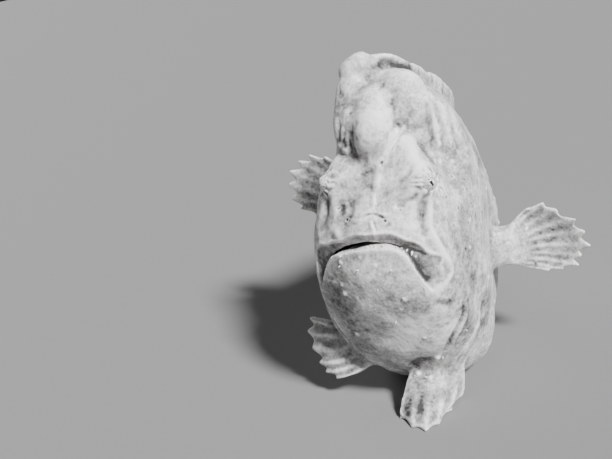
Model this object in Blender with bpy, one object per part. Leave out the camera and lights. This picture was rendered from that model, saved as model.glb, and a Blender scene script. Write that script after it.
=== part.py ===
"""A frogfish at rest, life size, in metres, with +Z up.

The fish faces -Y, its left side is +X, and the origin is the middle of the flat of its belly on the floor.
Shapes are worked out in body lengths, as (side, depth behind the lip, height), and placed at the end.
"""

import math
from collections import namedtuple

import bmesh
import bpy
import numpy as np
from mathutils import Vector
from mathutils.bvhtree import BVHTree

LENGTH = 0.170  # from the upper lip to the root of the tail fin
ORIGIN_DEPTH = 0.5  # how far behind the lip the origin lies, in body lengths
GAP = 0.0003  # between touching pieces, in metres
GAP_PART = GAP / LENGTH  # the same gap in body lengths

# The rear of the fish curls to its right.
CURL_START = 0.58
CURL_LENGTH = 0.50
CURL_ANGLE = math.radians(62)

# The body is a stretched ball. Each station has its turn from the front pole in degrees, its depth, top,
# bottom and half width, how much narrower it is at its top, and the squareness of its top and its bottom.
Station = namedtuple("Station", "turn depth top bottom half_width taper square_top square_low")
NOSE = Station(0, -0.022, None, None, None, 0.00, 2.0, 2.0)
SECTIONS = (
    Station(24, -0.012, 0.520, 0.345, 0.086, 0.02, 2.1, 2.1),
    Station(42, 0.012, 0.582, 0.268, 0.144, 0.04, 2.3, 2.2),
    Station(58, 0.052, 0.640, 0.172, 0.176, 0.06, 2.5, 2.3),
    Station(74, 0.130, 0.722, 0.070, 0.196, 0.10, 3.0, 2.4),
    Station(90, 0.250, 0.800, -0.002, 0.199, 0.12, 3.3, 2.5),
    Station(106, 0.410, 0.762, -0.024, 0.169, 0.20, 2.6, 2.4),
    Station(121, 0.570, 0.650, -0.012, 0.136, 0.22, 2.2, 2.2),
    Station(136, 0.710, 0.520, 0.022, 0.102, 0.18, 2.1, 2.1),
    Station(150, 0.830, 0.405, 0.075, 0.072, 0.12, 2.0, 2.0),
    Station(164, 0.930, 0.315, 0.120, 0.046, 0.08, 2.0, 2.0),
)
TAIL_ROOT = Station(180, 1.000, None, None, None, 0.05, 2.0, 2.0)
BODY_CELLS = 18  # cells along each edge of the cube that the body's ball starts from

# Swellings and folds of the body: a line through points, how wide it reaches, how far it rises, both sides.
EYE_MOUNDS = {1: (0.108, 0.080, 0.614), -1: (-0.093, 0.078, 0.612)}  # by side: the head leans a little
Fold = namedtuple("Fold", "line reach rise both")
FOLDS = {
    "left eye mound": Fold(((0.108, 0.082, 0.612),), 0.038, 0.027, False),
    "right eye mound": Fold(((-0.093, 0.080, 0.610),), 0.038, 0.024, False),
    "brow": Fold(((0.100, 0.100, 0.660), (0.066, 0.125, 0.735)), 0.030, 0.010, True),
    "snout": Fold(((0.000, 0.000, 0.530),), 0.060, 0.014, False),
    "hollow beside the snout": Fold(((0.048, 0.030, 0.595),), 0.035, -0.008, True),
    "hollow beside the spines": Fold(((0.060, 0.130, 0.700), (0.062, 0.180, 0.790)), 0.030, -0.010, True),
    "corner of the forehead": Fold(((0.122, 0.185, 0.785),), 0.050, 0.022, True),
    "temple": Fold(((0.165, 0.165, 0.650), (0.152, 0.145, 0.715)), 0.055, -0.030, True),
    "hollow before the arm": Fold(((0.185, 0.400, 0.240),), 0.100, -0.010, True),
    "cheek ridge": Fold(
        ((0.138, 0.105, 0.575), (0.146, 0.075, 0.510), (0.162, 0.065, 0.440)), 0.026, 0.006, True
    ),
    "hollow behind the cheek": Fold(((0.175, 0.140, 0.500), (0.185, 0.140, 0.420)), 0.045, -0.010, True),
    "chin": Fold(((0.000, -0.010, 0.400),), 0.090, 0.010, False),
    "throat groove": Fold(
        ((0.190, 0.150, 0.340), (0.180, 0.190, 0.240), (0.145, 0.200, 0.140), (0.070, 0.210, 0.070)),
        0.034, -0.014, True,
    ),
    "belly lobe": Fold(((0.165, 0.300, 0.080),), 0.090, 0.016, True),
    "groove below the back": Fold(((0.060, 0.470, 0.730), (0.050, 0.650, 0.560)), 0.040, -0.012, True),
    "full flank": Fold(
        ((0.150, 0.380, 0.600), (0.138, 0.475, 0.500), (0.133, 0.560, 0.370)), 0.075, 0.012, True
    ),
}

EYE_RADIUS = 0.0225
EYE_FACING = (0.87, -0.36, 0.32)
EYE_SUNK = 0.45  # how deep its centre lies under the mound, in eye radii
LID_THICKNESS = 0.007
NOSTRILS = ((0.047, 0.556, 0.0075), (0.078, 0.575, 0.0055))  # side, height, radius
NOSTRIL_THICKNESS = 0.0035
NOSTRIL_FACING = (0.3, -1.0, 0.5)

GILL_DEPTH = 0.505  # the pore behind the arm that the gills open through
GILL_HEIGHT = 0.235
GILL_RADIUS = 0.012
GILL_THICKNESS = 0.006
GILL_FACING = (1.0, 0.2, -0.2)

# The mouth is an arch seen from the front, open a little in the middle.
MOUTH_TOP = 0.488
MOUTH_DROP = 0.125
MOUTH_FLATNESS = 3.8
MOUTH_HALF_WIDTH = 0.156
MOUTH_OPEN = 0.009
JAW_DEPTH = 0.085
JAW_BOTTOM = 0.268
Lip = namedtuple("Lip", "offset radius reach")  # above the mouth's line, and its share of the mouth's width
UPPER_LIP = Lip(0.013, 0.014, 0.97)
LOWER_LIP = Lip(-0.012, 0.012, 0.93)
# Side and height of the plate at the mouth's corner.
MAXILLA = ((0.112, 0.470), (0.140, 0.425), (0.157, 0.365))

NECK_DEPTH = 0.310  # where the head ends and the torso starts
RUMP_DEPTH = 0.790  # where the torso ends and the tail starts

# The first spine is a thin lure laid back along the face: side and height of its path, and its radii.
LURE_PATH = ((0.004, 0.545), (0.006, 0.590), (0.022, 0.640), (0.050, 0.690), (0.064, 0.735))
LURE_ROOT_RADIUS = 0.0040
LURE_TIP_RADIUS = 0.0034
BAIT_RADIUS = 0.005
BAIT_AT = 0.93
BAIT_SPREAD = 0.06
LURE_CLEARANCE = 0.006

# A limb has a smooth path, its half widths and half thicknesses, and the way that its flat side looks.
Limb = namedtuple("Limb", "knots wides thins facing rows around")
SECOND_SPINE = Limb(
    ((-0.004, 0.150, 0.620), (-0.004, 0.108, 0.690), (-0.004, 0.106, 0.800)),
    (0.020, 0.046, 0.041), (0.020, 0.038, 0.035), (0, -1, 0.2), 11, 14,
)
THIRD_SPINE = Limb(
    ((-0.030, 0.260, 0.740), (-0.060, 0.225, 0.830), (-0.098, 0.215, 0.888)),
    (0.075, 0.052, 0.042), (0.060, 0.045, 0.034), (0, -1, 0.2), 11, 14,
)
ARM_WIDES = (0.060, 0.056, 0.050)
ARM_THINS = (0.045, 0.036, 0.016)
ARMS = {
    "left": Limb(
        ((0.13, 0.40, 0.315), (0.19, 0.42, 0.317), (0.240, 0.432, 0.318)),
        ARM_WIDES, ARM_THINS, (0, 1, 0), 9, 12,
    ),
    "right": Limb(
        ((-0.13, 0.40, 0.400), (-0.19, 0.42, 0.408), (-0.235, 0.432, 0.412)),
        ARM_WIDES, ARM_THINS, (0, 1, 0), 9, 12,
    ),
}

# A fin's root and tips are lines through a few points, and bow bends its rays. rows are the cells along a
# ray, steps those from ray to ray. web and ray are the (root, tip) thicknesses of the membrane and the rays,
# notch is how far the membrane falls short of the tips, and rim thickens the margin.
Fin = namedtuple("Fin", "root tips bow rays rows steps web ray notch rim")
STRAIGHT = ((0, -0.008, 0), (0, -0.008, 0))
PECTORAL_BOW = ((0, 0.01, -0.004), (0, 0.018, 0.0), (0, 0.01, 0.004))
THIRD_WEB = Fin(
    ((-0.030, 0.240, 0.740), (0, 0.340, 0.735), (0, 0.480, 0.690)),
    ((-0.085, 0.225, 0.880), (-0.020, 0.255, 0.888), (0, 0.330, 0.850), (0, 0.430, 0.812), (0, 0.484, 0.790)),
    ((0, 0, 0), (0.012, 0, 0), (0, 0, 0)), 3, 6, 5, (0.050, 0.014), (0.050, 0.016), 0.0, 0.010,
)
PECTORAL_FINS = {
    "left": Fin(
        ((0.215, 0.425, 0.262), (0.222, 0.430, 0.315), (0.215, 0.425, 0.370)),
        ((0.300, 0.450, 0.238), (0.352, 0.455, 0.246), (0.392, 0.455, 0.272), (0.416, 0.450, 0.312),
         (0.405, 0.450, 0.362), (0.362, 0.450, 0.402), (0.310, 0.445, 0.433), (0.258, 0.440, 0.420)),
        PECTORAL_BOW, 10, 5, 4, (0.008, 0.0035), (0.018, 0.007), 0.12, 0.0,
    ),
    "right": Fin(
        ((-0.212, 0.425, 0.360), (-0.218, 0.430, 0.410), (-0.212, 0.425, 0.462)),
        ((-0.325, 0.450, 0.368), (-0.395, 0.455, 0.385), (-0.436, 0.455, 0.412), (-0.446, 0.450, 0.470),
         (-0.425, 0.450, 0.520), (-0.380, 0.450, 0.556), (-0.330, 0.445, 0.572), (-0.275, 0.440, 0.555)),
        PECTORAL_BOW, 10, 5, 4, (0.008, 0.0035), (0.018, 0.007), 0.12, 0.0,
    ),
}
PELVIC_FINS = {
    "left": Fin(
        ((0.020, 0.150, 0.120), (0.075, 0.165, 0.125), (0.130, 0.190, 0.140)),
        ((0.006, 0.030, 0.006), (0.062, -0.008, 0.006), (0.105, 0.002, 0.006), (0.122, 0.075, 0.006),
         (0.128, 0.155, 0.006)),
        ((0, -0.03, -0.035), (0, -0.025, -0.040), (0, -0.01, -0.035)),
        5, 8, 4, (0.050, 0.006), (0.070, 0.012), 0.22, 0.0,
    ),
    "right": Fin(
        ((-0.060, 0.170, 0.100), (-0.095, 0.165, 0.130), (-0.115, 0.170, 0.175)),
        ((-0.190, 0.090, 0.062), (-0.225, 0.095, 0.078), (-0.240, 0.100, 0.112), (-0.268, 0.105, 0.175),
         (-0.252, 0.110, 0.225)),
        ((-0.01, -0.035, -0.010), (-0.01, -0.03, 0.0), (-0.01, -0.02, 0.010)),
        5, 7, 4, (0.040, 0.005), (0.055, 0.011), 0.22, 0.0,
    ),
}
DORSAL_FIN = Fin(
    ((0, 0.480, 0.690), (0, 0.570, 0.610), (0, 0.680, 0.520), (0, 0.800, 0.400), (0, 0.880, 0.325)),
    ((0, 0.500, 0.800), (0, 0.600, 0.742), (0, 0.760, 0.650), (0, 0.900, 0.540), (0, 1.000, 0.430)),
    STRAIGHT, 13, 4, 4, (0.016, 0.0035), (0.024, 0.007), 0.08, 0.0,
)
ANAL_FIN = Fin(
    ((0, 0.660, 0.050), (0, 0.760, 0.090), (0, 0.860, 0.135)),
    ((0, 0.700, -0.010), (0, 0.800, 0.004), (0, 0.900, 0.020), (0, 0.985, 0.070)),
    STRAIGHT, 8, 4, 4, (0.014, 0.0035), (0.022, 0.007), 0.10, 0.0,
)
CAUDAL_FIN = Fin(
    ((0, 0.965, 0.140), (0, 0.980, 0.215), (0, 0.965, 0.290)),
    ((0, 1.115, 0.030), (0, 1.205, 0.095), (0, 1.245, 0.215), (0, 1.215, 0.335), (0, 1.130, 0.410)),
    STRAIGHT, 9, 5, 4, (0.016, 0.0035), (0.026, 0.007), 0.10, 0.0,
)

Finish = namedtuple("Finish", "colour roughness")
SKIN = Finish((0.62, 0.61, 0.60, 1.0), 0.6)
FIN_SKIN = Finish((0.58, 0.57, 0.56, 1.0), 0.5)
EYE_GLOSS = Finish((0.10, 0.10, 0.10, 1.0), 0.1)


def clear_scene():
    for old in list(bpy.data.objects):
        bpy.data.objects.remove(old)


def new_collection(name):
    made = bpy.data.collections.new(name)
    bpy.context.scene.collection.children.link(made)
    return made


def new_material(name, finish):
    made = bpy.data.materials.new(name)
    made.use_nodes = True
    shader = made.node_tree.nodes["Principled BSDF"]
    shader.inputs["Base Color"].default_value = finish.colour
    shader.inputs["Roughness"].default_value = finish.roughness
    shader.inputs["Metallic"].default_value = 0.0
    return made


def as_part(obj, fish, finish):
    """Puts an object among the fish's parts, in a material of its own."""
    for collection in list(obj.users_collection):
        collection.objects.unlink(obj)
    fish.objects.link(obj)
    obj.hide_render = False
    obj.display_type = "TEXTURED"
    obj.data.materials.clear()
    obj.data.materials.append(new_material(f"{obj.name}_finish", finish))
    return obj


def as_cutter(obj, cutters):
    """Puts an object among the cutters and guides, which aren't parts."""
    for collection in list(obj.users_collection):
        collection.objects.unlink(obj)
    cutters.objects.link(obj)
    obj.hide_render = True
    obj.display_type = "WIRE"
    return obj


def smooth_through(places, values, at):
    """Values of a smooth curve through (places, values), at the places asked for."""
    slopes = np.gradient(values, places)
    i = np.clip(np.searchsorted(places, at) - 1, 0, len(places) - 2)
    step = places[i + 1] - places[i]
    t = (at - places[i]) / step
    start = (2 * t**3 - 3 * t**2 + 1) * values[i] + (t**3 - 2 * t**2 + t) * step * slopes[i]
    end = (3 * t**2 - 2 * t**3) * values[i + 1] + (t**3 - t**2) * step * slopes[i + 1]
    return start + end


def smooth_line(knots, at):
    """Points of a smooth curve through the knots, for places from 0 to 1."""
    knots = np.array(knots, float)
    places = np.linspace(0, 1, len(knots))
    return np.stack([smooth_through(places, column, at) for column in knots.T], -1)


def smooth_step(t):
    t = np.clip(t, 0.0, 1.0)
    return t * t * (3 - 2 * t)


def heading_at(depth):
    """How far the spine has turned to the right at a depth, in radians."""
    return CURL_ANGLE * smooth_step((depth - CURL_START) / CURL_LENGTH)


def curled(points):
    """Body-length points with the rear turned to the fish's right."""
    depth = np.linspace(0, 2.0, 801)
    heading = heading_at(depth)
    step = depth[1]
    spine_x = -np.cumsum(np.sin(heading)) * step
    spine_y = np.cumsum(np.cos(heading)) * step - step
    side, along, height = np.asarray(points, float).T
    inside = np.clip(along, 0, depth[-1])
    angle = np.interp(inside, depth, heading)
    x = np.interp(inside, depth, spine_x) + side * np.cos(angle)
    y = np.interp(inside, depth, spine_y) + side * np.sin(angle) + (along - inside)
    return np.stack([x, y, height], 1)


def placed(points):
    """World points in metres, flattened where they would pass below the floor."""
    world = (curled(points) - (0, ORIGIN_DEPTH, 0)) * LENGTH
    world[:, 2] = np.maximum(world[:, 2], 0.0)
    return world


def measured(world):
    """A world point in front of the curl, in body lengths."""
    return np.array(world) / LENGTH + (0, ORIGIN_DEPTH, 0)


def unit(vector):
    return np.array(vector, float) / np.linalg.norm(vector)


def mesh_object(name, points, faces, cutters):
    """A mesh object whose faces point out, among the guides."""
    mesh = bpy.data.meshes.new(name)
    mesh.from_pydata([tuple(p) for p in points], [], [tuple(int(i) for i in f) for f in faces])
    bm = bmesh.new()
    bm.from_mesh(mesh)
    bmesh.ops.recalc_face_normals(bm, faces=bm.faces)
    bm.to_mesh(mesh)
    bm.free()
    mesh.shade_smooth()
    return as_cutter(bpy.data.objects.new(name, mesh), cutters)


def ball_mesh(cells):
    """Points and quad faces of a unit ball made from a cube, with nearly even cells."""
    bm = bmesh.new()
    bmesh.ops.create_cube(bm, size=2.0)
    bmesh.ops.subdivide_edges(bm, edges=bm.edges[:], cuts=cells - 1, use_grid_fill=True)
    points = np.array([[math.tan(c * math.pi / 4) for c in v.co] for v in bm.verts])
    faces = np.array([[v.index for v in f.verts] for f in bm.faces])
    bm.free()
    return points / np.linalg.norm(points, axis=1)[:, None], faces


def normals_of(points, faces):
    """Unit normals at the points of a closed mesh of quads."""
    corners = points[faces]
    face_normals = np.cross(corners[:, 2] - corners[:, 0], corners[:, 3] - corners[:, 1])
    normals = np.zeros_like(points)
    for corner in range(4):
        np.add.at(normals, faces[:, corner], face_normals)
    return normals / np.linalg.norm(normals, axis=1)[:, None]


def line_distance(points, line):
    """How far each point is from a line through a few points."""
    if len(line) == 1:
        return np.linalg.norm(points - np.array(line[0]), axis=1)
    nearest = np.full(len(points), np.inf)
    for start, end in zip(line, line[1:]):
        start, along = np.array(start), np.subtract(end, start)
        t = np.clip((points - start) @ along / (along @ along), 0, 1)
        nearest = np.minimum(nearest, np.linalg.norm(points - start - t[:, None] * along, axis=1))
    return nearest


def body_points():
    """Points, in body lengths, and faces of the whole body."""
    ball, faces = ball_mesh(BODY_CELLS)
    side, along, up = ball.T
    sines = np.sin(np.radians([row.turn for row in SECTIONS]))
    halves = np.array([(row.top - row.bottom) / 2 for row in SECTIONS]) / sines
    middles = np.array([(row.top + row.bottom) / 2 for row in SECTIONS])
    widths = np.array([row.half_width for row in SECTIONS]) / sines
    stations = (NOSE, *SECTIONS, TAIL_ROOT)
    places = -np.cos(np.radians([row.turn for row in stations]))

    def along_body(values):
        return smooth_through(places, np.array(values, float), along)

    half, middle, width = (along_body((col[0], *col, col[-1])) for col in (halves, middles, widths))
    depth = along_body([row.depth for row in stations])
    taper = along_body([row.taper for row in stations])
    square_top = along_body([row.square_top for row in stations])
    square_low = along_body([row.square_low for row in stations])
    ring = np.maximum(np.hypot(side, up), 1e-9)
    power = np.where(up > 0, square_top, square_low)
    bulge = (np.abs(side / ring) ** power + np.abs(up / ring) ** power) ** (-1 / power)
    points = np.stack([width * side * bulge * (1 - taper * up), depth, middle + half * up * bulge], 1)
    normals = normals_of(points, faces)
    if (normals * points).sum() < 0:
        faces = faces[:, ::-1]
        normals = -normals
    folded = points.copy()
    for fold in FOLDS.values():
        for sign in (1, -1) if fold.both else (1,):
            line = np.array(fold.line) * (sign, 1, 1)
            rise = fold.rise * np.exp(-((line_distance(points, line) / fold.reach) ** 2))
            folded += normals * rise[:, None]
    return folded, faces


def frames_along(centres, facing):
    """Unit vectors across a path and out of it, with the second on the side that facing looks to."""
    along = np.gradient(centres, axis=0)
    along /= np.linalg.norm(along, axis=1)[:, None]
    across = np.cross(along, np.array(facing, float))
    across /= np.linalg.norm(across, axis=1)[:, None]
    return across, np.cross(across, along)


def limb_mesh(limb, blunt=0.7):
    """Points and faces of a rounded limb with oval sections. Its ends are round beyond the share blunt."""
    t = 0.5 - 0.5 * np.cos(np.linspace(0, math.pi, limb.rows))
    centres = smooth_line(limb.knots, t)
    across, out = frames_along(centres, limb.facing)
    end = (np.clip(np.abs(2 * t - 1), blunt, 1) - blunt) / (1 - blunt)
    rounding = np.sqrt(np.maximum(1 - end**2, 0.03))
    wide = smooth_line(np.array(limb.wides)[:, None], t)[:, 0] * rounding
    thin = smooth_line(np.array(limb.thins)[:, None], t)[:, 0] * rounding
    around = limb.around
    angle = np.arange(around) * 2 * math.pi / around
    rings = [
        centres[k] + np.outer(np.cos(angle) * wide[k], across[k]) + np.outer(np.sin(angle) * thin[k], out[k])
        for k in range(limb.rows)
    ]
    last = (limb.rows - 1) * around
    faces = [tuple(range(around)), tuple(last + i for i in range(around))[::-1]]
    for start in range(0, last, around):
        for i in range(around):
            j = (i + 1) % around
            faces.append((start + i, start + around + i, start + around + j, start + j))
    return np.vstack(rings), faces


def fan_mesh(fin):
    """Points and faces of a closed fin whose rays are ridges in its two faces, triangulated alike."""
    columns = (fin.rays - 1) * fin.steps + 1
    rows = fin.rows
    u = np.repeat(np.linspace(0, 1, columns), rows)
    s = np.tile(np.linspace(0, 1, rows), columns)
    between = np.sin(math.pi * u * (fin.rays - 1)) ** 2
    out = (s * (1 - fin.notch * between * s))[:, None]
    grid = smooth_line(fin.root, u) * (1 - out) + smooth_line(fin.tips, u) * out
    grid += smooth_line(fin.bow, u) * 4 * out * (1 - out)
    across, outward = np.gradient(grid.reshape(columns, rows, 3), axis=(0, 1))
    normal = np.cross(across, outward).reshape(-1, 3)
    normal /= np.linalg.norm(normal, axis=1)[:, None]
    ridge = (1 - between) ** 2
    fade = s**0.7
    at_root = fin.web[0] + (fin.ray[0] - fin.web[0]) * ridge
    at_tip = fin.web[1] + (fin.ray[1] - fin.web[1]) * ridge
    thick = at_root * (1 - fade) + at_tip * fade + fin.rim * np.exp(-(((1 - s) / 0.15) ** 2))
    points = np.vstack([grid + normal * thick[:, None] / 2, grid - normal * thick[:, None] / 2])
    far = columns * rows
    faces = []
    for column in range(columns - 1):
        for row in range(rows - 1):
            a, b = column * rows + row, (column + 1) * rows + row
            faces += [(a, b, b + 1), (a, b + 1, a + 1)]
            faces += [(far + a, far + b + 1, far + b), (far + a, far + a + 1, far + b + 1)]
    edge = [c * rows for c in range(columns)]
    edge += [(columns - 1) * rows + r for r in range(1, rows)]
    edge += [c * rows + rows - 1 for c in range(columns - 2, -1, -1)]
    edge += list(range(rows - 2, 0, -1))
    for a, b in zip(edge, edge[1:] + edge[:1]):
        faces += [(b, a, far + a), (b, far + a, far + b)]
    return points, faces


def round_tube(name, centres, radii, cutters):
    """A tube with round sections and closed ends through body-length points, as a curve object."""
    curve = bpy.data.curves.new(name, "CURVE")
    curve.dimensions = "3D"
    curve.bevel_depth = LENGTH
    curve.bevel_resolution = 2
    curve.use_fill_caps = True
    spline = curve.splines.new("POLY")
    spline.points.add(len(centres) - 1)
    for point, centre, radius in zip(spline.points, placed(centres), radii):
        point.co = (*centre, 1)
        point.radius = radius
    return as_cutter(bpy.data.objects.new(name, curve), cutters)


def mesh_from_curve(curve_object, cutters):
    """The curve's tube as a closed mesh object, in place of the curve."""
    bpy.context.view_layer.update()
    graph = bpy.context.evaluated_depsgraph_get()
    mesh = bpy.data.meshes.new_from_object(curve_object.evaluated_get(graph))
    bm = bmesh.new()
    bm.from_mesh(mesh)
    bmesh.ops.remove_doubles(bm, verts=bm.verts, dist=1e-7)
    bmesh.ops.recalc_face_normals(bm, faces=bm.faces)
    bm.to_mesh(mesh)
    bm.free()
    name = curve_object.name
    made = bpy.data.objects.new(f"{name}_mesh", mesh)
    made.matrix_world = curve_object.matrix_world
    bpy.data.objects.remove(curve_object)
    made.name = name
    return as_cutter(made, cutters)


def joined(obj, operation, *others, solver="EXACT"):
    """Applies a Boolean with each of the other objects."""
    for other in others:
        modifier = obj.modifiers.new(operation.lower(), "BOOLEAN")
        modifier.operation = operation
        modifier.solver = solver
        modifier.object = other
    bpy.context.view_layer.update()
    graph = bpy.context.evaluated_depsgraph_get()
    mesh = bpy.data.meshes.new_from_object(obj.evaluated_get(graph))
    obj.modifiers.clear()
    obj.data = mesh


def keep_largest(obj):
    """Keeps only the object's largest closed surface, in triangles."""
    bm = bmesh.new()
    bm.from_mesh(obj.data)
    bmesh.ops.triangulate(bm, faces=bm.faces)
    left = set(bm.verts)
    best = set()
    while left:
        group, front = set(), [left.pop()]
        while front:
            vert = front.pop()
            group.add(vert)
            linked = [edge.other_vert(vert) for edge in vert.link_edges]
            linked = [other for other in linked if other in left]
            left.difference_update(linked)
            front += linked
        best = max(best, group, key=len)
    bmesh.ops.delete(bm, geom=[v for v in bm.verts if v not in best], context="VERTS")
    bm.to_mesh(obj.data)
    bm.free()


def copy_of(obj, name, collection):
    made = bpy.data.objects.new(name, obj.data.copy())
    collection.objects.link(made)
    return made


def swollen(obj, name, cutters):
    """A copy of an object with its surface moved out by the gap, as a cutter for what grows from it."""
    made = copy_of(obj, name, cutters)
    for vert, normal in zip(made.data.vertices, [v.normal.copy() for v in made.data.vertices]):
        vert.co += normal * GAP
    return as_cutter(made, cutters)


def behind(name, depth, cutters):
    """A block whose front face crosses the body at a depth, square to the curl there."""
    heading = float(heading_at(depth))
    size = 1.2 * LENGTH
    on_spine = (curled([(0, depth, 0.5)])[0] - (0, ORIGIN_DEPTH, 0)) * LENGTH
    centre = on_spine + np.array([-math.sin(heading), math.cos(heading), 0]) * size / 2
    bpy.ops.mesh.primitive_cube_add(size=size, location=centre, rotation=(0, 0, heading))
    made = bpy.context.object
    made.name = name
    return as_cutter(made, cutters)


def ring(name, centre, facing, radius, thickness, cutters, segments=16, sides=6):
    """A round rim, such as a lid's, about a body-length point."""
    bpy.ops.mesh.primitive_torus_add(
        location=placed([centre])[0],
        rotation=Vector(facing).to_track_quat("Z", "Y").to_euler(),
        major_segments=segments,
        minor_segments=sides,
        major_radius=radius * LENGTH,
        minor_radius=thickness * LENGTH,
    )
    made = bpy.context.object
    made.name = name
    return as_cutter(made, cutters)


def sphere(name, centre, facing, radius, cutters, segments=20, rings=12):
    """A ball with its pole towards facing, about a body-length point."""
    bpy.ops.mesh.primitive_uv_sphere_add(
        segments=segments,
        ring_count=rings,
        radius=radius * LENGTH,
        location=placed([centre])[0],
        rotation=Vector(facing).to_track_quat("Z", "Y").to_euler(),
    )
    made = bpy.context.object
    made.name = name
    made.data.shade_smooth()
    return as_cutter(made, cutters)


def mouth_arch(side):
    """Height of the lower edge of the upper lip."""
    return MOUTH_TOP - MOUTH_DROP * (np.abs(side) / MOUTH_HALF_WIDTH) ** MOUTH_FLATNESS


def jaw_prism(name, grow, cutters):
    """The block that holds the lower jaw: an arch on top, rounded below, and flat at its back."""
    side = MOUTH_HALF_WIDTH * np.sin(np.linspace(-math.pi / 2, math.pi / 2, 25))
    lift = MOUTH_OPEN * (1 - (side / MOUTH_HALF_WIDTH) ** 2) if grow else 0 * side
    top = np.stack([side, mouth_arch(side) + lift], 1)
    turn = np.linspace(0, math.pi, 17)[1:-1]
    corner = mouth_arch(MOUTH_HALF_WIDTH)
    low = np.stack([MOUTH_HALF_WIDTH * np.cos(turn), corner + (JAW_BOTTOM - corner) * np.sin(turn)], 1)
    outline = np.vstack([top, low])
    ahead = np.roll(outline, -1, 0) - np.roll(outline, 1, 0)
    outward = np.stack([ahead[:, 1], -ahead[:, 0]], 1) / np.linalg.norm(ahead, axis=1)[:, None]
    if (outward * (outline - outline.mean(0))).sum() < 0:
        outward = -outward
    outline = outline + outward * grow
    count = len(outline)
    front = np.insert(outline, 1, -0.3, 1)
    back = np.insert(outline, 1, JAW_DEPTH + grow, 1)
    faces = [tuple(range(count)), tuple(range(count, 2 * count))[::-1]]
    faces += [(i, i + count, (i + 1) % count + count, (i + 1) % count) for i in range(count)]
    return mesh_object(name, placed(np.vstack([front, back])), faces, cutters)


def front_depth(tree, side, height):
    """Depth of the body's face at a side and a height, in body lengths."""
    start = placed([(side, -0.5, height)])[0]
    return measured(tree.ray_cast(start, (0, 1, 0))[0])[1]


def on_front(tree, path):
    """Body-length points on the body's face, for (side, height) pairs."""
    return np.array([(side, front_depth(tree, side, height), height) for side, height in path])


def facing_on(sign, facing):
    """A direction on the left side, or its mirror image on the right."""
    return unit(facing) * (sign, 1, 1)


def eye_centre(tree, sign):
    """Centre of an eyeball that looks out of the top of its mound."""
    facing = facing_on(sign, EYE_FACING)
    aim = placed([EYE_MOUNDS[sign]])[0]
    hit = tree.ray_cast(aim + facing * LENGTH, -facing)[0]
    return measured(hit) - facing * EYE_SUNK * EYE_RADIUS


def lip_mesh(name, tree, lip, cutters):
    """A tube along the arch of the mouth."""
    side = np.linspace(-lip.reach, lip.reach, 23) * MOUTH_HALF_WIDTH
    slope = np.gradient(mouth_arch(side), side)
    up = np.stack([-slope, np.ones_like(slope)], 1) / np.hypot(slope, 1)[:, None]
    fade = np.sqrt(np.clip(1 - (side / (lip.reach * MOUTH_HALF_WIDTH)) ** 4, 0.05, 1))
    middle = np.stack([side, mouth_arch(side)], 1) + up * lip.offset * fade[:, None]
    centres = on_front(tree, middle) + (0, 0.25 * lip.radius, 0)
    return mesh_from_curve(round_tube(name, centres, lip.radius * fade, cutters), cutters)


def build_head(fish, cutters, body, tree):
    """The head with its upper lip, lids, nostrils and mouth plates, less the block of the jaw."""
    head = as_part(copy_of(body, "head", fish), fish, SKIN)
    joined(head, "DIFFERENCE", behind("behind_head", NECK_DEPTH - GAP_PART / 2, cutters))
    extras = [lip_mesh("upper_lip", tree, UPPER_LIP, cutters)]
    sockets = []
    for sign, word in ((1, "left"), (-1, "right")):
        eye = eye_centre(tree, sign)
        facing = facing_on(sign, EYE_FACING)
        rim = eye + facing * EYE_SUNK * EYE_RADIUS
        extras.append(ring(f"lids_{word}", rim, facing, EYE_RADIUS, LID_THICKNESS, cutters))
        sockets.append(sphere(f"socket_{word}", eye, facing, EYE_RADIUS + GAP_PART, cutters))
        plate = on_front(tree, [(sign * x, z) for x, z in MAXILLA]) + (0, 0.002, 0)
        limb = Limb(plate, (0.011, 0.017, 0.013), (0.008, 0.010, 0.008), (0.3 * sign, -1, 0), 8, 12)
        points, faces = limb_mesh(limb)
        extras.append(mesh_object(f"maxilla_{word}", placed(points), faces, cutters))
        for k, (side, height, radius) in enumerate(NOSTRILS):
            at = on_front(tree, [(sign * side, height)])[0] - (0, 0.001, 0)
            name = f"nostril_{word}_{k}"
            facing = facing_on(sign, NOSTRIL_FACING)
            extras.append(ring(name, at, facing, radius, NOSTRIL_THICKNESS, cutters, 12, 5))
    joined(head, "UNION", *extras, solver="MANIFOLD")
    joined(head, "DIFFERENCE", jaw_prism("jaw_space", GAP_PART, cutters), *sockets, solver="MANIFOLD")
    keep_largest(head)


def build_jaw(fish, cutters, body, tree):
    """The lower jaw with its lip."""
    jaw = as_part(copy_of(body, "lower_jaw", fish), fish, SKIN)
    joined(jaw, "UNION", lip_mesh("lower_lip", tree, LOWER_LIP, cutters))
    joined(jaw, "INTERSECT", jaw_prism("jaw_block", 0.0, cutters))
    keep_largest(jaw)


def build_eyes(fish, cutters, tree):
    for sign, word in ((1, "left"), (-1, "right")):
        facing = facing_on(sign, EYE_FACING)
        as_part(sphere(f"eye_{word}", eye_centre(tree, sign), facing, EYE_RADIUS, cutters), fish, EYE_GLOSS)


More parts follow.
